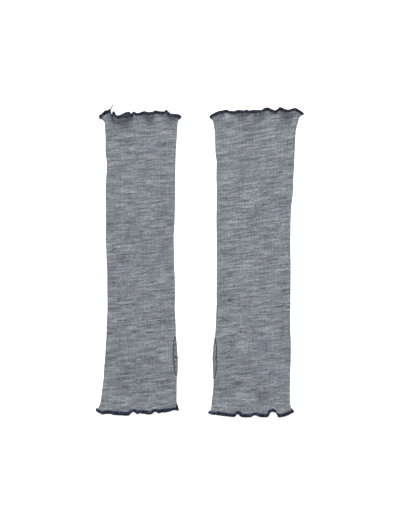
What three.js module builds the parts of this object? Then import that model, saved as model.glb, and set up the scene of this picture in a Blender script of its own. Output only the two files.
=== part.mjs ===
// A pair of fine rib-knit wrist warmers, laid flat side by side.
//
// Each one is a panel folded lengthwise into a tube, with a thumb slit left open in its side seam, and a fluted
// overlocked edge round both ends. Millimetres, +Z up. Z = 0 is the surface that the pair lies on, +Y runs from
// the hand end to the arm end, and X runs across the pair.

import * as THREE from "three";
import { mergeVertices } from "three/addons/utils/BufferGeometryUtils.js";

// ---- driving dimensions -------------------------------------------------------------------------------------

const CLOTH = 1.1; // wall of the rib knit
const LAYER_GAP = 0.6; // air between the two layers where the tube lies flat
const SEWN_GAP = 0.3; // clearance between pieces that are sewn together

const EDGE_WIDTH = 3.6; // overlocked edge, from the cloth's raw edge to the outer line
const EDGE_THICK = 1.8; // the same edge, through the wrapped thread
const EDGE_RIM_THICK = 0.9; // at its rounded inner and outer lines

const TURN_THICK = 0.8; // turned hem of the thumb slit
const TURN_COLUMNS = 3; // how many columns of the cloth it is wide
const SLIT_RECESS = 4.6; // how far the front layer draws back from the fold at the middle of the slit
const SLIT_PULL = 24; // how far in from the fold the front layer is drawn back with it
const SLIT_ROOM = 14; // width beside the fold where the layers stand apart for the turned hems
const NORMAL_STEP = 0.3; // distance up and down the tube over which the cloth's slope is taken

const PANEL_STEPS = 18; // columns across one layer
const FOLD_STEPS = 4; // columns round one fold

const RIM_FLAT = 9; // length of tube next to an end whose layers stand apart for the edges
const RIM_EASE = 14; // length over which they close again
const RISE_REACH = 30; // how far into the cloth the line of an end is felt
const LIFT_REACH = 15; // how far into the cloth a lifted ripple is felt
const FOLD_CALM = 8; // ripples die away this close to a fold

const KNIT_COLOUR = 0x858a91;
const EDGE_COLOUR = 0x22283c;
const TURN_COLOUR = 0x6f7075;

// Heights above the hand end (up), and how far the fold away from the thumb (far) and the fold with the thumb
// slit (thumb) lie from the warmer's own axis.
const LEFT_OUTLINE = [
  { up: 0, far: 52, thumb: 44 },
  { up: 5, far: 48.6, thumb: 42.4 },
  { up: 12, far: 46, thumb: 40.7 },
  { up: 26, far: 44.5, thumb: 40.7 },
  { up: 44, far: 42.5, thumb: 41 },
  { up: 62, far: 41.4, thumb: 41.9 },
  { up: 80, far: 39.9, thumb: 41 },
  { up: 120, far: 38.4, thumb: 38.6 },
  { up: 190, far: 39.6, thumb: 37.5 },
  { up: 258, far: 40, thumb: 39.1 },
  { up: 318, far: 40.4, thumb: 40.7 },
  { up: 335, far: 41.4, thumb: 41.8 },
  { up: 342, far: 44.6, thumb: 43.4 },
  { up: 348.5, far: 48.4, thumb: 46.3 },
];
const RIGHT_OUTLINE = [
  { up: 0, far: 45.8, thumb: 53 },
  { up: 5, far: 43.6, thumb: 50 },
  { up: 12, far: 41.4, thumb: 48.3 },
  { up: 26, far: 41.2, thumb: 46.8 },
  { up: 44, far: 41.2, thumb: 46.8 },
  { up: 62, far: 41.7, thumb: 47.2 },
  { up: 80, far: 42.2, thumb: 45.9 },
  { up: 105, far: 41.4, thumb: 43.4 },
  { up: 190, far: 41.5, thumb: 42.4 },
  { up: 240, far: 42.7, thumb: 42.6 },
  { up: 292, far: 46, thumb: 42.9 },
  { up: 332, far: 48.5, thumb: 45.3 },
  { up: 342, far: 52, thumb: 48 },
  { up: 350, far: 57.4, thumb: 51.2 },
];

// Crests and dips of the ends, across the tube: x from the warmer's axis, rise of the line along +Y, and lift of
// the layer off the one below it.
const LEFT_ENDS = {
  handFront: [
    { x: -52, rise: 4.8, lift: 0 },
    { x: -44, rise: 0.8, lift: 0.3 },
    { x: -30, rise: 0.4, lift: 0 },
    { x: -17, rise: -1, lift: 0.2 },
    { x: -9, rise: 3.2, lift: 2.6 },
    { x: -1, rise: 1.3, lift: 0.2 },
    { x: 11, rise: 0.2, lift: 0.3 },
    { x: 17, rise: 3.1, lift: 2 },
    { x: 24, rise: 2.2, lift: 0.4 },
    { x: 34, rise: 4, lift: 0.8 },
    { x: 45, rise: 4.7, lift: 0 },
  ],
  handBack: [
    { x: -52, rise: 4.8, lift: 0 },
    { x: -36, rise: 2, lift: 0 },
    { x: -24, rise: 1, lift: 0.8 },
    { x: -8, rise: 3.8, lift: 0 },
    { x: 6, rise: 1.6, lift: 0.8 },
    { x: 20, rise: 3.8, lift: 0 },
    { x: 45, rise: 4.9, lift: 0 },
  ],
  armFront: [
    { x: -48, rise: -4.8, lift: 0 },
    { x: -36, rise: 2.4, lift: 1.8 },
    { x: -27, rise: -4.4, lift: 2.8 },
    { x: -20, rise: -3.4, lift: 3 },
    { x: -13, rise: -1, lift: 3.2 },
    { x: -5, rise: -1.5, lift: 0.4 },
    { x: 5, rise: 0.2, lift: 2.4 },
    { x: 11, rise: -0.6, lift: 0.6 },
    { x: 17, rise: 1.1, lift: 0.4 },
    { x: 28, rise: 1.3, lift: 1.4 },
    { x: 36, rise: -2.7, lift: 0.3 },
    { x: 46, rise: -3.4, lift: 0 },
  ],
  armBack: [
    { x: -48, rise: -5, lift: 0 },
    { x: -37, rise: 0.4, lift: 0 },
    { x: -27, rise: -3.2, lift: 0.4 },
    { x: -15, rise: 0.2, lift: 1.2 },
    { x: 0, rise: -2.2, lift: 0 },
    { x: 18, rise: -0.6, lift: 1 },
    { x: 34, rise: -3.6, lift: 0 },
    { x: 46, rise: -3.6, lift: 0 },
  ],
};
const RIGHT_ENDS = {
  handFront: [
    { x: -53, rise: 2.8, lift: 0 },
    { x: -44, rise: 0, lift: 0.2 },
    { x: -30, rise: -2.3, lift: 0.3 },
    { x: -18.5, rise: 0.6, lift: 1.4 },
    { x: -9, rise: -2.4, lift: 0.3 },
    { x: 1, rise: -0.8, lift: 1.2 },
    { x: 13, rise: -2, lift: 0.3 },
    { x: 21.5, rise: 2.6, lift: 3 },
    { x: 30, rise: -2.8, lift: 0.4 },
    { x: 46, rise: 2.4, lift: 0 },
  ],
  handBack: [
    { x: -53, rise: 2.8, lift: 0 },
    { x: -36, rise: 0.4, lift: 0 },
    { x: -18, rise: 1.4, lift: 0.8 },
    { x: 2, rise: 0, lift: 0 },
    { x: 21, rise: 3.2, lift: 0.8 },
    { x: 32, rise: -0.6, lift: 0 },
    { x: 46, rise: 2.6, lift: 0 },
  ],
  armFront: [
    { x: -51, rise: -7, lift: 0 },
    { x: -38, rise: -0.6, lift: 1 },
    { x: -32, rise: 0.9, lift: 1.4 },
    { x: -25, rise: -0.8, lift: 0.4 },
    { x: -9, rise: 0.6, lift: 1.4 },
    { x: 7, rise: 0.6, lift: 2 },
    { x: 15, rise: 3.3, lift: 0.8 },
    { x: 23, rise: -0.2, lift: 0.3 },
    { x: 30.5, rise: 3.3, lift: 1 },
    { x: 38.5, rise: 0.2, lift: 2.6 },
    { x: 48, rise: 2.2, lift: 0.8 },
    { x: 57.5, rise: -3.4, lift: 0 },
  ],
  armBack: [
    { x: -51, rise: -7, lift: 0 },
    { x: -34, rise: -1.6, lift: 0 },
    { x: -14, rise: -0.6, lift: 1 },
    { x: 4, rise: -0.8, lift: 0 },
    { x: 26, rise: -1.2, lift: 1 },
    { x: 46, rise: 0.4, lift: 0 },
    { x: 57.5, rise: -3.6, lift: 0 },
  ],
};

// Soft slanting folds that lift both layers: centre from the axis (x) and the hand end (up), slope in degrees
// from +X, length, width and height.
const LEFT_FOLDS = [
  { x: -27, up: 50, slope: 32, length: 34, width: 13, height: 1.1 },
  { x: 12, up: 118, slope: 20, length: 30, width: 12, height: 0.7 },
  { x: -20, up: 182, slope: 10, length: 36, width: 14, height: 0.8 },
  { x: -28, up: 286, slope: 62, length: 40, width: 14, height: 0.7 },
];
const RIGHT_FOLDS = [
  { x: -22, up: 38, slope: 34, length: 42, width: 12, height: 1 },
  { x: 2, up: 30, slope: 36, length: 30, width: 11, height: 0.8 },
  { x: 2, up: 242, slope: 6, length: 34, width: 13, height: 0.9 },
  { x: 24, up: 128, slope: 24, length: 34, width: 14, height: 0.7 },
];

// thumbWay is +1 where the thumb fold is on the +X side of the warmer, and -1 where it is on the -X side.
const WARMERS = [
  {
    name: "left",
    axisX: -68,
    bottomY: -176,
    length: 348.5,
    thumbWay: 1,
    slit: { from: 43, to: 91 },
    outline: LEFT_OUTLINE,
    ends: LEFT_ENDS,
    folds: LEFT_FOLDS,
  },
  {
    name: "right",
    axisX: 62,
    bottomY: -176,
    length: 350,
    thumbWay: -1,
    slit: { from: 39, to: 91 },
    outline: RIGHT_OUTLINE,
    ends: RIGHT_ENDS,
    folds: RIGHT_FOLDS,
  },
];

// ---- tables and easing --------------------------------------------------------------------------------------

/** Smooth step from 0 at or below `from` to 1 at or above `to`. */
function ease(value, from, to) {
  return THREE.MathUtils.smoothstep(value, from, to);
}

/** Slope of a table's column at row `k`, from the rows on either side of it. */
function rowSlope(rows, key, column, k) {
  const before = rows[Math.max(k - 1, 0)];
  const after = rows[Math.min(k + 1, rows.length - 1)];
  return (after[column] - before[column]) / (after[key] - before[key]);
}

/** Value of a table's column at `at`, on a smooth curve through its rows. */
function readTable(rows, key, column, at) {
  const last = rows.length - 1;
  if (at <= rows[0][key]) return rows[0][column];
  if (at >= rows[last][key]) return rows[last][column];
  const k = rows.findIndex((row) => row[key] > at) - 1;
  const span = rows[k + 1][key] - rows[k][key];
  const t = (at - rows[k][key]) / span;
  const rise = rows[k + 1][column] - rows[k][column];
  const bend = rowSlope(rows, key, column, k) * span - rise;
  const unbend = rise - rowSlope(rows, key, column, k + 1) * span;
  return rows[k][column] + rise * t + t * (1 - t) * (bend * (1 - t) + unbend * t);
}

// ---- the form of the flattened tube -------------------------------------------------------------------------

/**
 * Places round the tube, from the thumb fold over the front layer, round the far fold and back underneath.
 * across runs from 1 at the thumb fold to -1 at the far fold, and angle is 90 on the front layer, 270 on the back.
 */
function tubeStations() {
  const quarter = FOLD_STEPS / 2;
  const stations = [];
  for (let k = 0; k < quarter; k++) stations.push({ across: 1, angle: (90 * k) / quarter });
  for (let k = 0; k <= PANEL_STEPS; k++) stations.push({ across: 1 - (2 * k) / PANEL_STEPS, angle: 90 });
  for (let k = 1; k < FOLD_STEPS; k++) stations.push({ across: -1, angle: 90 + (180 * k) / FOLD_STEPS });
  for (let k = 0; k <= PANEL_STEPS; k++) stations.push({ across: (2 * k) / PANEL_STEPS - 1, angle: 270 });
  for (let k = 1; k <= quarter; k++) stations.push({ across: 1, angle: 270 + (90 * k) / quarter });
  return stations;
}

/** How far the thumb slit is open at height `up`: 0 at and beyond its ends, 1 at its middle. */
function slitOpening(warmer, up) {
  const { from, to } = warmer.slit;
  const t = (up - from) / (to - from);
  return t <= 0 || t >= 1 ? 0 : 4 * t * (1 - t);
}

/** Share of the room that the two edges need at height `up`: 1 near an end, 0 along the tube. */
function edgeRoom(warmer, up) {
  const toEnd = Math.min(up, warmer.length - up);
  return 1 - ease(toEnd, RIM_FLAT, RIM_FLAT + RIM_EASE);
}

/** Distance between the middles of the two layers, `inset` in from the thumb fold. */
function layerSpacing(warmer, up, inset) {
  const flat = CLOTH + LAYER_GAP;
  const atEdges = EDGE_THICK + SEWN_GAP;
  const atTurns = CLOTH + 2 * TURN_THICK + 3 * SEWN_GAP;
  const { from, to } = warmer.slit;
  const alongSlit = ease(up, from - 14, from + 3) * (1 - ease(up, to - 3, to + 14));
  const besideSlit = alongSlit * (1 - ease(inset, SLIT_ROOM, 2 * SLIT_ROOM));
  const spacing = THREE.MathUtils.lerp(flat, atEdges, edgeRoom(warmer, up));
  return THREE.MathUtils.lerp(spacing, atTurns, besideSlit);
}

/** Height that the soft folds give the cloth at a place on the warmer. */
function foldLift(warmer, x, up) {
  let lift = 0;
  for (const fold of warmer.folds) {
    const slope = THREE.MathUtils.degToRad(fold.slope);
    const dx = x - fold.x;
    const dy = up - fold.up;
    const along = (dx * Math.cos(slope) + dy * Math.sin(slope)) / (fold.length / 2);
    const beside = (dy * Math.cos(slope) - dx * Math.sin(slope)) / (fold.width / 2);
    const reach = Math.hypot(along, beside);
    if (reach < 1) lift += fold.height * (1 - reach * reach) ** 2;
  }
  return lift;
}

/** One end of the tube: its distance from a height, and the tables that give its line. */
function nearEnd(warmer, up) {
  const { handFront, handBack, armFront, armBack } = warmer.ends;
  if (up < warmer.length / 2) return { away: up, front: handFront, back: handBack };
  return { away: warmer.length - up, front: armFront, back: armBack };
}

/** Point on the middle of the cloth at a station round the tube and a height along it. */
function clothPoint(warmer, station, up) {
  const { across, angle } = station;
  const way = warmer.thumbWay;
  const thumb = readTable(warmer.outline, "up", "thumb", up) - CLOTH / 2;
  const far = readTable(warmer.outline, "up", "far", up) - CLOTH / 2;
  const half = (thumb + far) / 2;
  const middle = (thumb - far) / 2;

  const opening = slitOpening(warmer, up);
  const inset = (1 - across) * half;
  const spacing = layerSpacing(warmer, up, inset);
  const radius = layerSpacing(warmer, up, across > 0 ? 0 : 2 * half) / 2;

  // The fold is half a circle. Beside the open slit its two quarters lie flat instead, each on its own layer.
  const onThumbFold = across === 1 && (angle < 90 || angle > 270);
  const unrolled = onThumbFold ? ease(opening, 0, 0.35) : 0;
  const onFront = angle < 180;
  const layerAngle = onFront ? 90 : 270;
  const turn = THREE.MathUtils.degToRad(THREE.MathUtils.lerp(angle, layerAngle, unrolled));
  const roundReach = Math.cos(THREE.MathUtils.degToRad(angle));
  const flatReach = Math.abs(angle - layerAngle) / 90;
  const reach = THREE.MathUtils.lerp(roundReach, flatReach, unrolled);
  const drawnBack = onFront ? SLIT_RECESS * opening * (1 - ease(inset, 0, SLIT_PULL)) : 0;
  const x = middle + across * (half - radius) + radius * reach - drawnBack;

  // Lines and ripples of the nearer end.
  const end = nearEnd(warmer, up);
  const lineX = way * x;
  const height = (1 + Math.sin(turn)) / 2;
  const frontRise = readTable(end.front, "x", "rise", lineX);
  const backRise = readTable(end.back, "x", "rise", lineX);
  const rise = THREE.MathUtils.lerp(backRise, frontRise, height);
  const riseShare = 1 - ease(end.away, 0, RISE_REACH);
  const calm = ease(inset, 0, FOLD_CALM) * ease(2 * half - inset, 0, FOLD_CALM);
  const liftShare = calm * Math.max(0, 1 - end.away / LIFT_REACH) ** 2;
  const backLift = readTable(end.back, "x", "lift", lineX) * liftShare;
  const frontLift = readTable(end.front, "x", "lift", lineX) * liftShare;

  const thickness = THREE.MathUtils.lerp(CLOTH, EDGE_THICK, edgeRoom(warmer, up));
  const folds = foldLift(warmer, lineX, up) * calm;
  const backZ = thickness / 2 + backLift + folds;
  const z = backZ + (spacing + frontLift) * height;
  return new THREE.Vector3(way * x, up + rise * riseShare, z);
}

// ---- from points to closed walls ----------------------------------------------------------------------------

/** Rows of middle points, one row for each height, with the cloth's normals there, out of the tube. */
function clothGrid(warmer, heights, stations) {
  const points = heights.map((up) => stations.map((station) => clothPoint(warmer, station, up)));
  const open = heights.map((up) => slitOpening(warmer, up) > 0);
  const last = stations.length - 1;
  const normals = points.map((row, j) => {
    const rowNormals = row.map((_, i) => {
      const before = i > 0 ? row[i - 1] : row[open[j] ? 0 : last - 1];
      const after = i < last ? row[i + 1] : row[open[j] ? last : 1];
      const round = new THREE.Vector3().subVectors(after, before);
      const above = clothPoint(warmer, stations[i], heights[j] + NORMAL_STEP);
      const below = clothPoint(warmer, stations[i], heights[j] - NORMAL_STEP);
      return round.cross(above.sub(below)).multiplyScalar(-warmer.thumbWay).normalize();
    });
    if (!open[j]) {
      rowNormals[0].add(rowNormals[last]).normalize();
      rowNormals[last] = rowNormals[0];
    }
    return rowNormals;
  });
  return { points, normals, open };
}

/** Adds the four-sided face a, b, c, d as two triangles. */
function addQuad(faces, a, b, c, d) {
  faces.push(a, b, c, a, c, d);
}

/** Six times the volume that a list of triangles encloses: negative where they are inside out. */
function signedVolume(positions, faces) {
  const corner = (k) => new THREE.Vector3().fromArray(positions, 3 * faces[k]);
  let volume = 0;
  for (let k = 0; k < faces.length; k += 3) volume += corner(k).dot(corner(k + 1).cross(corner(k + 2)));
  return volume;
}

/**
 * Closed wall round a grid of middle points, never below the surface that it lies on. thickness(j) is the wall's
 * thickness at row j, and shift moves it along the normals. Rows that aren't open join up at the thumb fold.
 */
function wall(grid, thickness, shift = 0) {
  const { points, normals, open } = grid;
  const rows = points.length;
  const columns = points[0].length;
  const positions = [];
  for (const side of [1, -1]) {
    for (let j = 0; j < rows; j++) {
      for (let i = 0; i < columns; i++) {
        const offset = shift + (side * thickness(j)) / 2;
        const point = points[j][i].clone().addScaledVector(normals[j][i], offset);
        positions.push(point.x, point.y, Math.max(0, point.z));
      }
    }
  }
  const outer = (j, i) => j * columns + i;
  const inner = (j, i) => (rows + j) * columns + i;
  const faces = [];
  for (let j = 0; j < rows - 1; j++) {
    for (let i = 0; i < columns - 1; i++) {
      addQuad(faces, outer(j, i), outer(j, i + 1), outer(j + 1, i + 1), outer(j + 1, i));
      addQuad(faces, inner(j + 1, i), inner(j + 1, i + 1), inner(j, i + 1), inner(j, i));
    }
    if (open[j] || open[j + 1]) {
      const last = columns - 1;
      addQuad(faces, outer(j + 1, 0), inner(j + 1, 0), inner(j, 0), outer(j, 0));
      addQuad(faces, outer(j, last), inner(j, last), inner(j + 1, last), outer(j + 1, last));
    }
  }
  for (let i = 0; i < columns - 1; i++) {
    const top = rows - 1;
    addQuad(faces, outer(0, i), inner(0, i), inner(0, i + 1), outer(0, i + 1));
    addQuad(faces, outer(top, i), outer(top, i + 1), inner(top, i + 1), inner(top, i));
  }
  if (signedVolume(positions, faces) < 0) faces.reverse();
  const geometry = new THREE.BufferGeometry();
  geometry.setAttribute("position", new THREE.Float32BufferAttribute(positions, 3));
  geometry.setIndex(faces);
  return dropSlivers(mergeVertices(geometry, 1e-3));
}

/** The same geometry without the triangles whose corners were merged into one another. */
function dropSlivers(geometry) {
  const index = Array.from(geometry.index.array);
  const kept = [];
  for (let k = 0; k < index.length; k += 3) {
    const [a, b, c] = index.slice(k, k + 3);
    if (a !== b && b !== c && c !== a) kept.push(a, b, c);
  }
  geometry.setIndex(kept);
  geometry.computeVertexNormals();
  return geometry;
}

// ---- the pieces ---------------------------------------------------------------------------------------------

const STATIONS = tubeStations();

/** Heights of the body's rows: close together at the ends and along the slit. */
function bodyHeights(warmer) {
  const { from, to } = warmer.slit;
  const raw = EDGE_WIDTH + SEWN_GAP;
  const nearHand = [raw, 8, 14, 25];
  const besideSlit = [0, 0.12, 0.32, 0.5, 0.68, 0.88, 1].map((t) => THREE.MathUtils.lerp(from, to, t));
  const upTheArm = [112, 150, 195, 245, 288];
  const nearArm = [28, 16, 9, raw].map((away) => warmer.length - away);
  return [...nearHand, ...besideSlit, ...upTheArm, ...nearArm];
}

/** The folded panel with its open slit. */
function body(warmer) {
  return wall(clothGrid(warmer, bodyHeights(warmer), STATIONS), () => CLOTH);
}

/** The overlocked edge round one end, whose cloth side is at height `inner` and outer line at `outer`. */
function overlockedEdge(warmer, inner, outer) {
  const heights = [Math.min(inner, outer), (inner + outer) / 2, Math.max(inner, outer)];
  const grid = clothGrid(warmer, heights, STATIONS);
  return wall(grid, (j) => (j === 1 ? EDGE_THICK : EDGE_RIM_THICK));
}

/** The turned hem on one side of the slit, made from the cloth's own points, moved to the inside of the tube. */
function thumbHem(warmer, columns) {
  const { from, to } = warmer.slit;
  const heights = bodyHeights(warmer).filter((up) => up > from && up < to);
  const grid = clothGrid(warmer, heights, STATIONS);
  const strip = {
    points: grid.points.map((row) => row.slice(...columns)),
    normals: grid.normals.map((row) => row.slice(...columns)),
    open: grid.open,
  };
  const inward = -(CLOTH / 2 + SEWN_GAP + TURN_THICK / 2);
  return wall(strip, () => TURN_THICK, inward);
}

const knit = new THREE.MeshStandardMaterial({ color: KNIT_COLOUR, roughness: 0.95, metalness: 0 });
const overlock = new THREE.MeshStandardMaterial({ color: EDGE_COLOUR, roughness: 0.8, metalness: 0 });
const turned = new THREE.MeshStandardMaterial({ color: TURN_COLOUR, roughness: 0.95, metalness: 0 });

/** One warmer: a group of its named pieces, standing on its own axis. */
function wristWarmer(warmer) {
  const group = new THREE.Group();
  const addPiece = (name, geometry, material) => {
    const mesh = new THREE.Mesh(geometry, material);
    mesh.name = `${warmer.name}_${name}`;
    group.add(mesh);
  };
  addPiece("body", body(warmer), knit);
  addPiece("hand_edge", overlockedEdge(warmer, EDGE_WIDTH, 0), overlock);
  addPiece("arm_edge", overlockedEdge(warmer, warmer.length - EDGE_WIDTH, warmer.length), overlock);
  addPiece("thumb_hem_front", thumbHem(warmer, [0, TURN_COLUMNS + 1]), turned);
  addPiece("thumb_hem_back", thumbHem(warmer, [-TURN_COLUMNS - 1]), turned);
  group.position.set(warmer.axisX, warmer.bottomY, 0);
  return group;
}

/** Moves a group so that the middle of its footprint is on the Z axis and its underside at Z = 0. */
function standOnOrigin(group) {
  const box = new THREE.Box3().setFromObject(group);
  const middle = box.getCenter(new THREE.Vector3());
  group.position.set(-middle.x, -middle.y, -box.min.z);
  return group;
}

const pair = new THREE.Group();
for (const warmer of WARMERS) pair.add(wristWarmer(warmer));
standOnOrigin(pair);

export default pair;
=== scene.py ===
"""Looks of a pair of fine rib-knit wrist warmers that lie flat, side by side.

Each warmer is a panel of heather merino rib, folded lengthwise into a tube. A thumb slit is left
open in its side seam, and a fluted edge, overlocked in navy thread, runs round both of its ends.
Sizes are in millimetres until a mesh is made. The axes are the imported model's: +Y runs from the
hand ends to the forearm ends, and +Z is up. What is too fine to show is drawn coarser than it is,
and the class that draws it says so.
"""

import logging
import math
from dataclasses import dataclass
from enum import Enum
from functools import partial
from typing import Any, Callable, Optional, Sequence, TypeVar, Union

import bpy
import numpy as np
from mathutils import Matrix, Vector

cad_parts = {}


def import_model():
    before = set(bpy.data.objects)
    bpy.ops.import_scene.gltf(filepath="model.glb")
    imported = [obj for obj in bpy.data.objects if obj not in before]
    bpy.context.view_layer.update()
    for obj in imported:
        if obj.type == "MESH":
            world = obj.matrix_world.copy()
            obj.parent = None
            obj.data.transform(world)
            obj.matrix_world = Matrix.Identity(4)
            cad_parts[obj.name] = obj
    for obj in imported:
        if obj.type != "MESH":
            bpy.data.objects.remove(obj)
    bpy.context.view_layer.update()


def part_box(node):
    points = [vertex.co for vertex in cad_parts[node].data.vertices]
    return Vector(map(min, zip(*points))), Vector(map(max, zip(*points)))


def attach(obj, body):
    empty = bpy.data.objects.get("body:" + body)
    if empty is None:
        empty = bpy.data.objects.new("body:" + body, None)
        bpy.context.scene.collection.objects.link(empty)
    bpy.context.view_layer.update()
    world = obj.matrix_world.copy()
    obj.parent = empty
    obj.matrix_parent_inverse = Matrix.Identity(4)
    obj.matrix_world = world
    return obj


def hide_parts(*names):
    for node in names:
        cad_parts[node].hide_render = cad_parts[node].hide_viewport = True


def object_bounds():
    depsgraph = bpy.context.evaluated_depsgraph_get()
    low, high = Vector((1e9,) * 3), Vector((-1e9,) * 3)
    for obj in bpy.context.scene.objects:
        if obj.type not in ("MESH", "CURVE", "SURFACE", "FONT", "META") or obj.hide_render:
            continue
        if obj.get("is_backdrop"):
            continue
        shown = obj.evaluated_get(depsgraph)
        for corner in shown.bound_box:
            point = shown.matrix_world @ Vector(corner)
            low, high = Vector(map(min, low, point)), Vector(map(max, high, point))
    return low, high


LOG = logging.getLogger("wrist_warmers")

MM = 0.001
BODY = "root"
CLOTH_UV = "cloth_mm"
RIB_COUNT = "rib_count"
RIB_HEIGHT = "rib_height"
MATH = "ShaderNodeMath"
NOISE = "ShaderNodeTexNoise"
ATTRIBUTE = "GeometryNodeInputNamedAttribute"
WHITE = (1.0, 1.0, 1.0, 1.0)
SHORTEST = 1e-12

Row = TypeVar("Row")
Colour = tuple[float, float, float, float]
Piece = bpy.types.Object
Source = Union[bpy.types.Node, bpy.types.NodeSocket]
Value = Union[float, int, bool, str, Sequence[float], Source]
Adder = Callable[..., bpy.types.Node]


class End(Enum):
    """The two open ends of a warmer."""

    HAND = "hand"
    ARM = "arm"


class Layer(Enum):
    """The two layers of a tube that lies flat."""

    FRONT = "front"
    BACK = "back"


class Thread(Enum):
    """The threads that the warmers are sewn with."""

    CORE = "polyamide_thread_overlock_core_navy"
    NAVY = "polyamide_thread_overlocked_navy"
    # Painted light: the navy thread again, drawn paler and bluer for the hand ends.
    RUBBED = "polyamide_thread_overlocked_navy_rubbed"
    GREY = "polyester_thread_cover_stitched_grey"
    # Dark grey thread of the loose ends, also laid along the slit's edges, where it is partly
    # painted shade.
    DARK = "polyester_thread_overcast_dark_grey"


# ---- small tools --------------------------------------------------------------------------------


def linear(hex_colour: str) -> Colour:
    """Turns an sRGB colour into the linear one that shaders use.

    Args:
        hex_colour: The colour, as "#rrggbb".

    Returns:
        Linear red, green and blue, and an alpha of 1.
    """
    channels = [int(hex_colour[k : k + 2], 16) / 255 for k in (1, 3, 5)]
    red, green, blue = (
        c / 12.92 if c <= 0.04045 else ((c + 0.055) / 1.055) ** 2.4 for c in channels
    )
    return red, green, blue, 1.0


def ease(value: np.ndarray, start: float, stop: float) -> np.ndarray:
    """Returns 0 up to start, 1 from stop on, and a smooth step between them."""
    t = np.clip((value - start) / (stop - start), 0, 1)
    return t * t * (3 - 2 * t)


def mix(low: np.ndarray, high: np.ndarray, share: np.ndarray) -> np.ndarray:
    """Returns low where share is 0 and high where it is 1."""
    return low + (high - low) * share


def unit(vectors: np.ndarray) -> np.ndarray:
    """Returns the vectors with a length of 1."""
    return vectors / np.maximum(np.linalg.norm(vectors, axis=-1, keepdims=True), SHORTEST)


def steps(start: float, stop: float, pitch: float) -> np.ndarray:
    """Returns even values from start up to, but without, stop, about pitch apart."""
    count = max(1, round((stop - start) / pitch))
    return np.linspace(start, stop, count, endpoint=False)


def table(kind: Callable[..., Row], *rows: tuple[Any, ...]) -> tuple[Row, ...]:
    """Returns the rows of a table as objects of one class, whose fields are its columns."""
    return tuple(kind(*row) for row in rows)


def add_node(
    tree: bpy.types.NodeTree,
    kind: str,
    inputs: Union[Sequence[Value], dict[Union[str, int], Value]] = (),
    stops: Sequence[tuple[float, str]] = (),
    **settings: Any,
) -> bpy.types.Node:
    """Adds one node to a tree, with its settings, socket values and links.

    Args:
        tree: The shader or geometry tree.
        kind: The node's type name.
        inputs: The inputs in order, or input name or number to input. Each is a value, or the
            output that feeds it, and a node stands for its first output.
        stops: Place and sRGB colour of each stop, on a colour ramp.
        **settings: Properties of the node itself.

    Returns:
        The new node.
    """
    node = tree.nodes.new(kind)
    for name, setting in settings.items():
        setattr(node, name, setting)
    for key, value in inputs.items() if isinstance(inputs, dict) else enumerate(inputs):
        if isinstance(value, bpy.types.Node):
            value = value.outputs[0]
        if isinstance(value, bpy.types.NodeSocket):
            tree.links.new(value, node.inputs[key])
        else:
            node.inputs[key].default_value = value
    if stops:
        elements = node.color_ramp.elements
        while len(elements) < len(stops):
            elements.new(1.0)
        for element, (place, colour) in zip(elements, stops):
            element.position = place
            element.color = linear(colour)
    return node


@dataclass(frozen=True)
class Width:
    """How far the flat tube's two folds lie from its axis, at a height above the hand end."""

    up: float
    far: float
    thumb: float


@dataclass(frozen=True)
class Ripple:
    """One crest or dip of an end: place across, rise along +Y, and lift off the layer below."""

    x: float
    rise: float
    lift: float


@dataclass(frozen=True)
class Fold:
    """A soft ridge: its middle, its slope from +X in degrees, and its length, width and height."""

    x: float
    up: float
    slope: float
    length: float
    width: float
    height: float


@dataclass(frozen=True)
class ThreadMark:
    """A place on a loose end of thread, and the thread's radius there."""

    x: float
    up: float
    z: float
    radius: float


@dataclass(frozen=True)
class ThreadEnd:
    """A loose end of thread and the places that it passes."""

    name: str
    thread: Thread
    path: tuple[ThreadMark, ...]


class SmoothCurve:
    """A smooth curve through the rows of a table."""

    def __init__(self, keys: Sequence[float], values: Sequence[float]) -> None:
        """Works out the slope at each row.

        Args:
            keys: Where the rows are, in rising order.
            values: The value at each row.
        """
        self.keys = np.asarray(keys, float)
        self.values = np.asarray(values, float)
        last = len(self.keys) - 1
        before = np.maximum(np.arange(last + 1) - 1, 0)
        after = np.minimum(np.arange(last + 1) + 1, last)
        rises = self.values[after] - self.values[before]
        self.slopes = rises / (self.keys[after] - self.keys[before])

    def __call__(self, at: np.ndarray) -> np.ndarray:
        """Reads the curve.

        Args:
            at: Where to read it. Beyond the first and last rows it is level.

        Returns:
            The value at each place.
        """
        at = np.clip(at, self.keys[0], self.keys[-1])
        k = np.clip(np.searchsorted(self.keys, at, side="right") - 1, 0, len(self.keys) - 2)
        span = self.keys[k + 1] - self.keys[k]
        t = (at - self.keys[k]) / span
        rise = self.values[k + 1] - self.values[k]
        bend = self.slopes[k] * span - rise
        unbend = rise - self.slopes[k + 1] * span
        return self.values[k] + rise * t + t * (1 - t) * (bend * (1 - t) + unbend * t)


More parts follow.
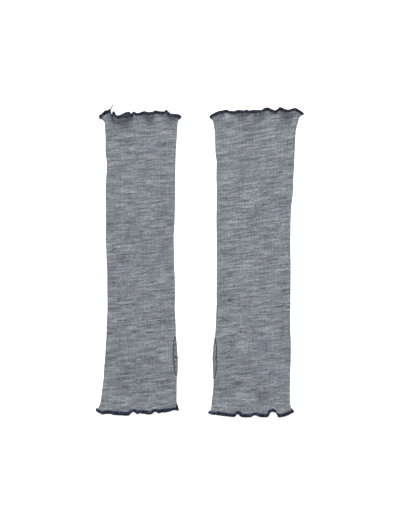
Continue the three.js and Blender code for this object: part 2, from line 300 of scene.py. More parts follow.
class EndLine:
    """The rippled line of one layer at one end.

    Its broad curves are felt far into the cloth. Its sharp ripples and its lifts die away close to
    the end.
    """

    BROAD_REACH = 30.0
    RIPPLE_REACH = 10.0
    LIFT_LEVEL = 2.2
    LIFT_REACH = 8.2
    BLUR = 5.0
    BLURS_WIDE = 3
    SAMPLE = 0.5
    HALF_SPAN = 70.0

    def __init__(self, ripples: Sequence[Ripple]) -> None:
        """Splits the line into its broad curves and its ripples.

        Args:
            ripples: The crests and dips, from -X to +X.
        """
        places = [r.x for r in ripples]
        self.rise = SmoothCurve(places, [r.rise for r in ripples])
        self.lift = SmoothCurve(places, [r.lift for r in ripples])
        self.samples = np.arange(-self.HALF_SPAN, self.HALF_SPAN, self.SAMPLE)
        half = round(self.BLURS_WIDE * self.BLUR / self.SAMPLE)
        bell = np.exp(-0.5 * (np.arange(-half, half + 1) * self.SAMPLE / self.BLUR) ** 2)
        padded = np.pad(self.rise(self.samples), half, mode="edge")
        self.broad = np.convolve(padded, bell / bell.sum(), mode="valid")

    def rise_at(self, x: np.ndarray, away: np.ndarray) -> np.ndarray:
        """Works out how far the cloth moves along +Y.

        Args:
            x: Place across.
            away: Distance from the end.

        Returns:
            The move at each place.
        """
        broad = np.interp(x, self.samples, self.broad)
        sharp = self.rise(x) - broad
        near = 1 - ease(away, 0, self.RIPPLE_REACH)
        return broad * (1 - ease(away, 0, self.BROAD_REACH)) + sharp * near

    def lift_at(self, x: np.ndarray, away: np.ndarray) -> np.ndarray:
        """Returns how far the cloth lifts at a place across and a distance from the end."""
        return np.maximum(self.lift(x), 0) * (1 - ease(away, self.LIFT_LEVEL, self.LIFT_REACH))


# ---- the cut and form of a warmer ---------------------------------------------------------------


@dataclass(frozen=True)
class Cloth:
    """Sizes that both warmers share.

    The real ribs are about half as far apart. They are drawn at rib_pitch so that they show.
    """

    wall: float = 1.1
    rim_wall: float = 0.8
    layer_gap: float = 0.6
    sewn_gap: float = 0.3
    edge_width: float = 3.6
    edge_thick: float = 1.8
    turn_thick: float = 0.8
    slit_pull: float = 24.0
    slit_room: float = 14.0
    slit_lead: float = 14.0
    slit_lap: float = 3.0
    unroll_share: float = 0.35
    rim_flat: float = 9.0
    rim_ease: float = 14.0
    fold_calm: float = 8.0
    rib_pitch: float = 3.4
    ribs_across: int = 24
    columns_per_rib: int = 5
    fold_columns: int = 8
    fold_girth: float = 2.6

    @property
    def girth(self) -> float:
        """Length of cloth round the tube."""
        return 2 * (self.ribs_across * self.rib_pitch + self.fold_girth)


@dataclass(frozen=True)
class Cut:
    """One warmer as it is cut and laid out, on its own axis.

    The thumb fold is on +X where thumb_way is 1. axis_offset is the axis's place from the middle
    of the body's box. The front side of the slit is drawn back by slit_recess at its middle, as a
    parabola where slit_fullness is 1, and more evenly where it is less.
    """

    name: str
    length: float
    thumb_way: int
    axis_offset: float
    slit_from: float
    slit_to: float
    widths: tuple[Width, ...]
    lines: dict[tuple[End, Layer], tuple[Ripple, ...]]
    folds: tuple[Fold, ...]
    front_folds: tuple[Fold, ...]
    thread_ends: tuple[ThreadEnd, ...] = ()
    slit_recess: float = 4.6
    slit_fullness: float = 1.0
    slit_stitch_pitch: float = 3.0


LEFT = Cut(
    name="left",
    length=348.5,
    thumb_way=1,
    axis_offset=2.39,
    slit_from=43,
    slit_to=91,
    widths=table(
        Width,
        (0, 52.2, 43.6), (2.6, 51.8, 42.9), (5.4, 49.6, 42.5), (10, 47.8, 41.1), (15.5, 46.4, 40.8),
        (26, 45.2, 40.9), (36, 43.9, 41), (44, 43.1, 41.2), (52, 42.7, 41.9), (62, 41.9, 41.9),
        (70, 41.2, 41.6), (80, 40.8, 41), (90, 40, 40.1), (105, 39.6, 39.7), (120, 38.9, 38.8),
        (134, 38.9, 38.9), (148, 39, 39), (162, 39.1, 38.5), (176, 39.7, 37.9), (190, 40.2, 37.8),
        (204, 40.9, 37.5), (217, 40.5, 38.2), (231, 40.6, 38.8), (250, 40.9, 39), (262, 40.8, 39.2),
        (272, 40.2, 39.3), (286, 39.4, 39.4), (295, 40.1, 39.7), (302, 41, 39.9), (310, 41, 40.4),
        (320, 41, 41.1), (330, 41.6, 41.6), (335, 41.6, 41.8), (338.5, 42.6, 42),
        (341.5, 44.9, 42.6), (345, 47.6, 45.1), (348.5, 48.8, 46.7),
    ),
    lines={
        (End.HAND, Layer.FRONT): table(
            Ripple,
            (-52, 4.8, 0), (-48.5, 2.4, 0), (-44, 0.8, 0.3), (-41.5, 1.7, 0.8), (-37, 1.6, 0.6),
            (-33.4, 1.5, 0.4), (-32.2, 0.9, 0.3), (-28, 0.8, 0.3), (-19, -0.1, 0.2),
            (-14.5, -0.2, 0.5), (-9, 3.8, 2.2), (-6.4, 2.4, 0.8), (-4.6, 1.6, 0.5), (-2, 2.3, 0.3),
            (1, 2.2, 0.2), (6, 1.6, 0.2), (11, 1, 0.3), (14.5, 3.2, 1.8), (17, 3.6, 1.6),
            (18.6, 2.6, 0.8), (20.2, 2.7, 0.5), (23, 3.7, 1.3), (26, 3.9, 1.2), (32, 4.3, 0.5),
            (36, 5.1, 0.4), (41, 5.4, 0.2), (45, 5.6, 0),
        ),
        (End.HAND, Layer.BACK): table(
            Ripple,
            (-52, 4.8, 0), (-45, 0.6, 0), (-41, 1, 0), (-36, 1, 0), (-33.4, 0.8, 0),
            (-32.2, -0.1, 0), (-28, -0.4, 0), (-19, -1, 0), (-14.5, -0.8, 0), (-9, 4, 0.4),
            (-6.4, 2, 0.3), (-4.6, 0.6, 0.2), (-2, 1.6, 0), (1, 1.6, 0), (8, 0.3, 0), (12, 0.9, 0),
            (14.5, 3.2, 0.3), (17, 3.6, 0.3), (18.6, 2.2, 0), (20.2, 1.6, 0), (22.4, 2.4, 0),
            (25, 2.8, 0), (28, 2.7, 0), (31, 3.2, 0), (33.4, 3.9, 0), (36, 5.1, 0), (41, 5.4, 0),
            (45, 5.6, 0),
        ),
        (End.ARM, Layer.FRONT): table(
            Ripple,
            (-48, -5.1, 0), (-42, 0.8, 0.5), (-38, 1.9, 1.4), (-35.4, 2.9, 3), (-33.6, -3.8, 5),
            (-32, -0.2, 6), (-30.4, 0, 6), (-28.4, -4.2, 5.6), (-25, -4.6, 5.6), (-21, -3.4, 5.6),
            (-15.5, -4.2, 5.8), (-13.5, -0.4, 5.2), (-11.3, -2.9, 3.2), (-8.8, 0.4, 1.2),
            (-5.5, -1.5, 0.3), (-1, -0.8, 0.4), (3.5, 0.6, 2), (6.5, -0.2, 4.6), (9, -0.9, 5),
            (11.6, -0.1, 4.4), (13, -0.3, 3.4), (15, 1, 1.2), (17, 1.4, 0.3), (22, 0.4, 0.3),
            (26.6, 0.5, 1.4), (28.8, 2.3, 2.4), (30.6, 0.4, 2.8), (33.4, -2, 3.4), (38, -2.5, 3.2),
            (41, -2.7, 1.4), (43.5, -3.4, 0.2), (45, -4.3, 0), (46.5, -6, 0),
        ),
        (End.ARM, Layer.BACK): table(
            Ripple,
            (-48, -5.2, 0), (-42, -0.6, 0), (-38, 0.9, 0), (-36, 0.6, 0), (-33.7, -4.4, 0.2),
            (-29, -4.8, 0.4), (-25, -3.8, 0.4), (-23, -2.9, 0.6), (-20.7, -1.8, 0.8),
            (-18.4, -0.7, 1), (-16, -0.1, 1.2), (-13.8, -0.1, 1.2), (-12.7, -1.2, 0.9),
            (-11.3, -3.4, 0.6), (-9, -2.2, 0.2), (0, -2.2, 0), (18, -0.6, 0.8), (34, -3.6, 0),
            (44, -3.8, 0), (46.5, -6, 0),
        ),
    },
    folds=table(
        Fold,
        (-34, 47, 20, 40, 30, 1), (10, 108, 5, 30, 14, 0.5), (-20, 184, 6, 40, 26, 0.9),
        (-28, 286, 62, 40, 14, 0.7),
    ),
    front_folds=table(
        Fold,
        (-35, 45, 20, 40, 30, 1.4), (-23, 107.5, 24, 42, 15, 1.3), (9, 107, 6, 30, 15, 0.8),
        (-20, 184, 5, 40, 24, 1), (-18, 318, -6, 38, 22, 1.3), (-11, 233, 84, 66, 22, 1),
        (6, 66, 4, 84, 40, 1.2), (20, 152, 8, 44, 22, 0.7), (16, 262, -6, 44, 22, 0.7),
        (22, 316, 10, 32, 20, 0.9), (14, 212, 12, 34, 20, 0.7), (-21, 344, 0, 36, 18, 2.2),
        (9.5, 343, 0, 14, 16, 2.2), (34, 342, 0, 26, 16, 2), (25, 12, 8, 17, 13, 1.4),
    ),
    thread_ends=(
        ThreadEnd(
            "seam_end_hand",
            Thread.NAVY,
            table(
                ThreadMark,
                (42.5, 4.9, 3.3, 1.1), (41.8, 8.4, 3.7, 1), (40.7, 12.4, 3.8, 0.7),
            ),
        ),
        ThreadEnd(
            "seam_end_arm",
            Thread.NAVY,
            table(
                ThreadMark,
                (44.6, 344, 3.4, 1.3), (44.3, 341.8, 3.5, 1.2), (43.2, 339.8, 3.6, 0.8),
            ),
        ),
        ThreadEnd(
            "cut_end_arm",
            Thread.NAVY,
            table(
                ThreadMark,
                (-35.7, 349.4, 4.4, 0.8), (-35.2, 350.8, 4.4, 0.7), (-34.7, 352, 4.3, 0.45),
            ),
        ),
        ThreadEnd(
            "cut_tip_arm",
            Thread.DARK,
            table(
                ThreadMark,
                (-35, 351, 4.3, 0.55), (-34, 353.4, 4.1, 0.66), (-32.1, 356.8, 3.7, 0.5),
            ),
        ),
        ThreadEnd(
            "loop_slit",
            Thread.DARK,
            table(
                ThreadMark,
                (39, 66.2, 2.7, 0.45), (41.5, 65.9, 2.6, 0.5), (44.4, 66.5, 2.1, 0.42),
            ),
        ),
    ),
    slit_recess=4.9,
    slit_fullness=0.7,
    slit_stitch_pitch=5.75,
)

RIGHT = Cut(
    name="right",
    length=350,
    thumb_way=-1,
    axis_offset=-2.0,
    slit_from=39,
    slit_to=91,
    widths=table(
        Width,
        (0, 46.2, 53.8), (3, 45, 51.6), (5, 44.2, 50), (8, 42.2, 49.4), (17, 41.3, 48.7),
        (26, 41.2, 47.5), (36, 41.2, 46.9), (44, 41.3, 46.9), (52, 41.5, 47.1), (60, 42, 47.5),
        (66, 42.1, 47.8), (73, 42.3, 47.1), (80, 42.2, 46.7), (87, 42.1, 45.7), (94, 41.7, 44.8),
        (105, 41.6, 44), (114, 41.4, 43.8), (128, 41.7, 43.2), (142, 41.8, 43.3), (156, 41.9, 43.1),
        (170, 42, 43), (182, 41.8, 42.9), (197, 41.6, 42.9), (210, 41.8, 43.2), (224, 42, 43.4),
        (240, 42.7, 43.2), (252, 44.3, 43.2), (262, 45, 43.1), (272, 45.1, 43.5), (286, 46, 43.3),
        (293, 46.2, 43.3), (300, 46.5, 44.4), (313, 47.1, 44.9), (328, 48.2, 45.6),
        (336, 50.3, 46.5), (342, 51.8, 47.5), (346, 54.4, 50.1), (350, 58.2, 51.8),
    ),
    lines={
        (End.HAND, Layer.FRONT): table(
            Ripple,
            (-53, 2.4, 0), (-50.5, 1, 0), (-47.7, 0, 0.2), (-44, 0.2, 0.2), (-40, 0.4, 0.2),
            (-36, -0.9, 0.3), (-30, -1.6, 0.3), (-22.5, -2, 0.4), (-18.5, 1.6, 1.6),
            (-15, -1.9, 0.4), (-9, -2.4, 0.3), (-3, -2, 0.3), (-0.6, -0.7, 1), (2.2, -0.5, 1.2),
            (4.6, -1.3, 0.4), (9, -2.3, 0.3), (16, -1.7, 0.6), (17.4, 1.4, 1.4), (19.2, 3.6, 2.6),
            (21, 4, 3.2), (23, 3.6, 2.8), (25, 2.4, 1.6), (26.4, -0.6, 0.8), (27.4, -2.3, 0.5),
            (31, -2.3, 0.3), (37, -0.7, 0.3), (42, 1.6, 0.3), (46, 3.8, 0),
        ),
        (End.HAND, Layer.BACK): table(
            Ripple,
            (-53, 2.4, 0), (-50.5, 1, 0), (-44, -0.1, 0), (-36, -1.3, 0), (-28, -2.2, 0),
            (-22, -2.3, 0), (-18.5, 1.8, 0.3), (-15, -2.3, 0), (-9, -3, 0), (-3, -2.6, 0),
            (-0.6, -0.7, 0.2), (2.2, -0.5, 0.2), (4.6, -1.9, 0), (10, -3, 0), (16, -2.1, 0),
            (17.4, 1.4, 0.3), (19.2, 3.8, 0.4), (21, 4.4, 0.4), (23, 3.8, 0.4), (25, 2.4, 0.2),
            (26.4, -0.8, 0), (27.4, -2.7, 0), (32, -2.7, 0), (37, -1, 0), (42, 1.4, 0),
            (46, 3.8, 0),
        ),
        (End.ARM, Layer.FRONT): table(
            Ripple,
            (-51, -6.6, 0), (-47.7, -3.9, 0.2), (-43, -1.8, 2.4), (-38.5, -0.4, 3), (-35, 0.2, 2.2),
            (-32, 0.9, 0.6), (-28, -0.5, 0.3), (-24, -0.9, 0.3), (-18, 0.4, 1.8), (-15.5, 0.1, 4.2),
            (-12, -0.2, 4.8), (-8.5, 0.7, 4), (-6, -0.1, 1.2), (-3, 0.2, 0.3), (-1, 0.8, 1.6),
            (1.5, 0.3, 4.2), (4, 0.3, 4.8), (9, 0.8, 4.4), (11.5, 2.8, 2.4), (14, 3.3, 0.6),
            (16, 3.4, 0.4), (19.5, 1.7, 0.2), (23, 0.3, 0.2), (25.6, 0.8, 0.3), (28.8, 3.5, 1.6),
            (31, 3.3, 3), (34, 1.8, 4.4), (38.5, 0.6, 5), (43, 1.8, 4), (47.2, 2.9, 1.2),
            (51, 1.1, 0.4), (54, -0.7, 0.2), (57.5, -3.5, 0),
        ),
        (End.ARM, Layer.BACK): table(
            Ripple,
            (-51, -6.4, 0), (-34, -1.2, 0), (-14, -0.6, 1), (4, -0.8, 0), (26, -1.2, 1),
            (46, 0.4, 0), (57.5, -3.6, 0),
        ),
    },
    folds=table(
        Fold,
        (-20, 42, 35, 42, 16, 0.8), (-2, 239, 37, 42, 26, 1), (24, 128, 24, 34, 20, 0.8),
    ),
    front_folds=table(
        Fold,
        (-2, 239, 37, 42, 26, 1.2), (-24, 28, 35, 48, 18, -1.8), (21, 31, 8, 26, 20, 1.3),
        (33, 253, 8, 26, 20, 1.2), (-12, 78, 8, 36, 18, 1.1), (-38, 97, 15, 26, 20, 1.2),
        (14, 196, 14, 44, 22, 0.7), (-16, 268, 14, 46, 24, 0.8), (22, 300, 16, 44, 22, 0.8),
        (-30, 146, 10, 30, 20, 0.8), (-12, 342, 0, 16, 18, 2.6), (6, 344, 0, 20, 14, 1.8),
        (-40, 342, 0, 16, 14, 1.4), (38, 344, 0, 24, 14, 2), (6, 331, 9, 26, 9, 1),
        (0, 36, 36, 30, 14, 0.7),
    ),
)


@dataclass(frozen=True)
class Stations:
    """Places round the tube, from the thumb fold over the front, the far fold and the back.

    across runs from 1 at the thumb fold to -1 at the far fold. angle is 90 on the front layer and
    270 on the back one. girth is the length of cloth from the first place, and ribs counts the
    ribs along it.
    """

    across: np.ndarray
    angle: np.ndarray
    girth: np.ndarray
    ribs: np.ndarray

    @classmethod
    def around(cls, cloth: Cloth) -> "Stations":
        """Spaces the places so that every rib has the same number of them.

        Args:
            cloth: The sizes of the cloth.

        Returns:
            The places, with the first one repeated at the end.
        """
        panel = cloth.ribs_across * cloth.columns_per_rib
        half_fold = cloth.fold_columns // 2
        quarter = np.linspace(0, 90, half_fold, endpoint=False)
        over = np.linspace(1, -1, panel + 1)
        far = np.linspace(90, 270, cloth.fold_columns + 1)[1:-1]
        home = np.linspace(270, 360, half_fold + 1)[1:]
        at_thumb = np.ones(half_fold)
        across = np.concatenate([at_thumb, over, -np.ones(len(far)), -over, at_thumb])
        front, back = np.full(panel + 1, 90.0), np.full(panel + 1, 270.0)
        angle = np.concatenate([quarter, front, far, back, home])
        fold_step = cloth.fold_girth / cloth.fold_columns
        panel_step = cloth.rib_pitch / cloth.columns_per_rib
        on_fold = np.abs(np.diff(angle)) > 0
        girth = np.concatenate([[0], np.cumsum(np.where(on_fold, fold_step, panel_step))])
        shares = np.where(on_fold, 1 / cloth.fold_columns, 1 / cloth.columns_per_rib)
        return cls(across, angle, girth, np.concatenate([[0], np.cumsum(shares)]))


@dataclass(frozen=True)
class Grid:
    """Middle points of a piece of cloth, a row for each height.

    It also holds their normals, their places in the knit, and which rows are open at the slit.
    """

    points: np.ndarray
    normals: np.ndarray
    knit: np.ndarray
    ribs: np.ndarray
    open_rows: np.ndarray

    def columns(self, chosen: slice) -> "Grid":
        """Returns only some columns of an open stretch."""
        parts = (self.points, self.normals, self.knit, self.ribs)
        return Grid(*(part[:, chosen] for part in parts), np.ones(len(self.points), bool))


class ClothForm:
    """The middle surface of one flat warmer, from its cut."""

    NORMAL_STEP = 0.3

    def __init__(self, cut: Cut, cloth: Cloth) -> None:
        """Makes the curves of the cut and finds the warmer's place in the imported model.

        Args:
            cut: The warmer's own sizes.
            cloth: The sizes that both warmers share.
        """
        self.cut = cut
        self.cloth = cloth
        self.stations = Stations.around(cloth)
        ups = [w.up for w in cut.widths]
        self.far = SmoothCurve(ups, [w.far for w in cut.widths])
        self.thumb = SmoothCurve(ups, [w.thumb for w in cut.widths])
        self.lines = {key: EndLine(ripples) for key, ripples in cut.lines.items()}
        self.place = self.find_place()

    def find_place(self) -> np.ndarray:
        """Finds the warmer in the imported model.

        Returns:
            Where its axis meets the hand end, in millimetres.
        """
        cut = self.cut
        low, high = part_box(f"{cut.name}_body")
        axis = (low.x + high.x) / 2 / MM + cut.axis_offset
        slit_low, slit_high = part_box(f"{cut.name}_thumb_hem_back")
        bottom = (slit_low.y + slit_high.y) / 2 / MM - (cut.slit_from + cut.slit_to) / 2
        return np.array([axis, bottom, 0.0])

    def slit_opening(self, up: np.ndarray) -> np.ndarray:
        """Returns how far the slit is open: 0 at and beyond its ends, 1 at its middle."""
        t = (up - self.cut.slit_from) / (self.cut.slit_to - self.cut.slit_from)
        return np.where((t > 0) & (t < 1), 4 * t * (1 - t), 0.0)

    def edge_room(self, up: np.ndarray) -> np.ndarray:
        """Works out where the two layers make room for their edges.

        Args:
            up: Height above the hand end.

        Returns:
            The share of that room, from 1 at an end to 0 along the tube.
        """
        cloth = self.cloth
        to_end = np.minimum(up, self.cut.length - up)
        return 1 - ease(to_end, cloth.rim_flat, cloth.rim_flat + cloth.rim_ease)

    def layer_spacing(self, up: np.ndarray, inset: np.ndarray) -> np.ndarray:
        """Works out how far apart the middles of the two layers lie.

        Args:
            up: Height above the hand end.
            inset: Distance in from the thumb fold.

        Returns:
            The spacing at each place.
        """
        cloth, cut = self.cloth, self.cut
        flat = cloth.wall + cloth.layer_gap
        at_edges = cloth.edge_thick + cloth.sewn_gap
        at_turns = cloth.wall + 2 * cloth.turn_thick + 3 * cloth.sewn_gap
        past_start = ease(up, cut.slit_from - cloth.slit_lead, cut.slit_from + cloth.slit_lap)
        past_stop = ease(up, cut.slit_to - cloth.slit_lap, cut.slit_to + cloth.slit_lead)
        along = past_start * (1 - past_stop)
        beside = along * (1 - ease(inset, cloth.slit_room, 2 * cloth.slit_room))
        return mix(mix(flat, at_edges, self.edge_room(up)), at_turns, beside)

    @staticmethod
    def fold_lift(folds: Sequence[Fold], x: np.ndarray, up: np.ndarray) -> np.ndarray:
        """Adds up the soft ridges.

        Args:
            folds: The ridges.
            x: Place across, from the warmer's axis.
            up: Height above the hand end.

        Returns:
            How high they lift the cloth at each place.
        """
        lift = np.zeros(np.broadcast(x, up).shape)
        for fold in folds:
            slope = math.radians(fold.slope)
            dx, dy = x - fold.x, up - fold.up
            along = (dx * math.cos(slope) + dy * math.sin(slope)) / (fold.length / 2)
            beside = (dy * math.cos(slope) - dx * math.sin(slope)) / (fold.width / 2)
            reach = np.minimum(np.hypot(along, beside), 1)
            lift = lift + fold.height * (1 - reach**2) ** 2
        return lift

    def points(self, heights: np.ndarray) -> np.ndarray:
        """Works out the middle of the cloth.

        Args:
            heights: Heights above the hand end, a row for each.

        Returns:
            Points by row and station, from the warmer's axis at the hand end.
        """
        cloth, cut = self.cloth, self.cut
        up = np.asarray(heights, float)[:, None]
        across, angle = self.stations.across[None, :], self.stations.angle[None, :]
        thumb = self.thumb(up) - cloth.wall / 2
        far = self.far(up) - cloth.wall / 2
        half, middle = (thumb + far) / 2, (thumb - far) / 2
        opening = self.slit_opening(up)
        inset = (1 - across) * half
        spacing = self.layer_spacing(up, inset)
        radius = self.layer_spacing(up, np.where(across > 0, 0, 2 * half)) / 2

        # The fold is half a circle. Beside the open slit its two quarters lie flat instead, each
        # on its layer.
        on_thumb_fold = (across == 1) & ((angle < 90) | (angle > 270))
        unrolled = np.where(on_thumb_fold, ease(opening, 0, cloth.unroll_share), 0)
        on_front = angle < 180
        layer_angle = np.where(on_front, 90, 270)
        turn = np.radians(mix(angle, layer_angle, unrolled))
        reach = mix(np.cos(np.radians(angle)), np.abs(angle - layer_angle) / 90, unrolled)
        recess = cut.slit_recess * opening**cut.slit_fullness
        drawn_back = np.where(on_front, recess * (1 - ease(inset, 0, cloth.slit_pull)), 0)
        x = cut.thumb_way * (middle + across * (half - radius) + radius * reach - drawn_back)

        # Lines, ripples and lifts of the nearer end.
        height = (1 + np.sin(turn)) / 2
        calm = ease(inset, 0, cloth.fold_calm) * ease(2 * half - inset, 0, cloth.fold_calm)
        rise, back_lift, front_lift = (np.zeros_like(x) for _ in range(3))
        for end in End:
            away = up if end is End.HAND else cut.length - up
            near = away < cut.length / 2
            front, back = self.lines[end, Layer.FRONT], self.lines[end, Layer.BACK]
            rise += np.where(near, mix(back.rise_at(x, away), front.rise_at(x, away), height), 0)
            back_lift += np.where(near, back.lift_at(x, away), 0) * calm
            front_lift += np.where(near, front.lift_at(x, away), 0) * calm

        thickness = mix(cloth.wall, cloth.edge_thick, self.edge_room(up))
        ridges = self.fold_lift(cut.folds, x, up) * calm
        front_ridges = self.fold_lift(cut.front_folds, x, up) * calm
        above = (spacing + front_lift + front_ridges) * height
        z = thickness / 2 + back_lift + ridges + above
        return np.stack([x, up + rise, z], axis=-1)

    def grid(self, heights: np.ndarray) -> Grid:
        """Makes the rows of middle points, with their normals out of the tube.

        Args:
            heights: Heights above the hand end, a row for each.

        Returns:
            The grid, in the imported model's place.
        """
        heights = np.asarray(heights, float)
        points = self.points(heights)
        open_rows = self.slit_opening(heights) > 0
        before, after = np.roll(points, 1, axis=1), np.roll(points, -1, axis=1)
        before[:, 0] = np.where(open_rows[:, None], points[:, 0], points[:, -2])
        after[:, -1] = np.where(open_rows[:, None], points[:, -1], points[:, 1])
        climb = self.points(heights + self.NORMAL_STEP) - self.points(heights - self.NORMAL_STEP)
        normals = unit(-self.cut.thumb_way * np.cross(after - before, climb))
        seam = unit(normals[:, 0] + normals[:, -1])
        for side in (0, -1):
            normals[~open_rows, side] = seam[~open_rows]

        # The knit's own measure runs towards +X on the front layer of both warmers.
        girth = -self.cut.thumb_way * self.stations.girth
        knit = np.stack(np.broadcast_arrays(girth[None, :], heights[:, None]), axis=-1)
        ribs = np.broadcast_to(self.stations.ribs[None, :], points.shape[:2])
        return Grid(points + self.place, normals, knit, ribs, open_rows)


# ---- meshes -------------------------------------------------------------------------------------


def new_mesh(
    name: str, points: np.ndarray, edges: Sequence = (), faces: Sequence = ()
) -> bpy.types.Mesh:
    """Makes a smooth mesh.

    Args:
        name: The mesh's name.
        points: Its vertices, in millimetres.
        edges: Its loose edges.
        faces: Its faces.

    Returns:
        The mesh, in metres.
    """
    mesh = bpy.data.meshes.new(name)
    mesh.from_pydata((points * MM).tolist(), edges, faces)
    mesh.polygons.foreach_set("use_smooth", np.ones(len(mesh.polygons), bool))
    mesh.update()
    return mesh


def mesh_object(
    name: str, mesh: bpy.types.Mesh, material: Optional[bpy.types.Material] = None
) -> Piece:
    """Puts a mesh into the scene.

    Args:
        name: The object's name.
        mesh: Its mesh, already in place.
        material: Its only material, if it has none yet.

    Returns:
        The object, at the origin.
    """
    mesh.name = name
    if material is not None:
        mesh.materials.append(material)
    made = bpy.data.objects.new(name, mesh)
    bpy.context.scene.collection.objects.link(made)
    return made


def quads(a: np.ndarray, b: np.ndarray, c: np.ndarray, d: np.ndarray) -> np.ndarray:
    """Returns four-sided faces, one for each place in the arrays."""
    return np.stack([a.ravel(), b.ravel(), c.ravel(), d.ravel()], axis=1)


def wall(
    name: str,
    grid: Grid,
    thickness: np.ndarray,
    shift: float = 0.0,
    material: Optional[bpy.types.Material] = None,
) -> Piece:
    """Makes a closed wall round a grid of middle points.

    Rows that aren't open join up at the thumb fold.

    Args:
        name: The object's name.
        grid: The middle points.
        thickness: Thickness of the wall, by row and column.
        shift: How far the wall is moved along the normals.
        material: Its material, if it has one.

    Returns:
        The wall, with its knit measure as a UV map and its count of ribs as an attribute.
    """
    rows, columns = grid.points.shape[:2]
    reach = np.broadcast_to(thickness, (rows, columns))[..., None] / 2
    corners = np.stack([grid.points + grid.normals * (shift + way * reach) for way in (1, -1)])
    corners[..., 2] = np.maximum(corners[..., 2], 0)
    number = np.arange(corners.size // 3).reshape(2, rows, columns)
    outer, inner = number
    slit = np.flatnonzero(grid.open_rows[:-1] | grid.open_rows[1:])
    corner_numbers = np.concatenate(
        [
            quads(outer[:-1, :-1], outer[:-1, 1:], outer[1:, 1:], outer[1:, :-1]),
            quads(inner[1:, :-1], inner[1:, 1:], inner[:-1, 1:], inner[:-1, :-1]),
            quads(outer[0, :-1], inner[0, :-1], inner[0, 1:], outer[0, 1:]),
            quads(outer[-1, :-1], outer[-1, 1:], inner[-1, 1:], inner[-1, :-1]),
            quads(outer[slit + 1, 0], inner[slit + 1, 0], inner[slit, 0], outer[slit, 0]),
            quads(outer[slit, -1], inner[slit, -1], inner[slit + 1, -1], outer[slit + 1, -1]),
        ]
    )

    # At the thumb fold of a closed row, the last column is the first one again.
    same = number.copy()
    same[:, ~grid.open_rows, -1] = number[:, ~grid.open_rows, 0]
    used, joined = np.unique(same.ravel()[corner_numbers], return_inverse=True)
    joined = joined.reshape(corner_numbers.shape)
    vertices = corners.reshape(-1, 3)[used]
    a, b, c, d = (vertices[joined[:, k]] for k in range(4))
    inside_out = np.einsum("ij,ij->i", a, np.cross(b, c) + np.cross(c, d)).sum() < 0
    if inside_out:
        joined, corner_numbers = joined[:, ::-1], corner_numbers[:, ::-1]

    mesh = new_mesh(name, vertices, faces=joined.tolist())
    knit = np.concatenate([grid.knit.reshape(-1, 2)] * 2)[corner_numbers.ravel()]
    uv = mesh.uv_layers.new(name=CLOTH_UV).data
    uv.foreach_set("uv", knit.astype(np.float32).ravel())
    ribs = np.concatenate([grid.ribs.ravel()] * 2)[used]
    count = mesh.attributes.new(RIB_COUNT, "FLOAT", "POINT").data
    count.foreach_set("value", ribs.astype(np.float32))
    return mesh_object(name, mesh, material)


def line_object(
    name: str, points: np.ndarray, reach_way: np.ndarray, side_way: np.ndarray, closed: bool
) -> Piece:
    """Makes a line that thread loops are laid along.

    Args:
        name: The object's name.
        points: The line, in millimetres.
        reach_way: Which way each loop reaches, at each point.
        side_way: Which way its two legs lie, at each point.
        closed: Whether the line joins its own start.

    Returns:
        The line as an object of edges only.
    """
    count = len(points)
    edges = [(k, (k + 1) % count) for k in range(count if closed else count - 1)]
    mesh = new_mesh(name, points, edges)
    for label, vectors in (("reach_way", reach_way), ("side_way", side_way)):
        attribute = mesh.attributes.new(label, "FLOAT_VECTOR", "POINT")
        attribute.data.foreach_set("vector", unit(vectors).astype(np.float32).ravel())
    return mesh_object(name, mesh)


def tube(
    name: str, points: np.ndarray, radii: np.ndarray, sides: int, material: bpy.types.Material
) -> Piece:
    """Makes a thread along a line, closed at both ends.

    Args:
        name: The object's name.
        points: Its middle line, in millimetres.
        radii: Its radius at each point.
        sides: How many sides its section has.
        material: Its material.

    Returns:
        The thread.
    """
    # A way that no thread end runs, to turn each section from.
    askew = [0.31, 0.27, 1.0]
    along = unit(np.gradient(points, axis=0))
    beside = unit(np.cross(along, askew))[:, None]
    above = np.cross(beside[:, 0], along)[:, None]
    turn = np.linspace(0, 2 * np.pi, sides, endpoint=False)[None, :, None]
    ring = beside * np.cos(turn) + above * np.sin(turn)
    vertices = (points[:, None] + ring * radii[:, None, None]).reshape(-1, 3)
    number = np.arange(len(vertices)).reshape(len(points), sides)
    following = np.roll(number, -1, axis=1)
    faces = quads(number[:-1], number[1:], following[1:], following[:-1]).tolist()
    faces += [number[0].tolist(), number[-1][::-1].tolist()]
    return mesh_object(name, new_mesh(name, vertices, faces=faces), material)


# ---- geometry node trees ------------------------------------------------------------------------


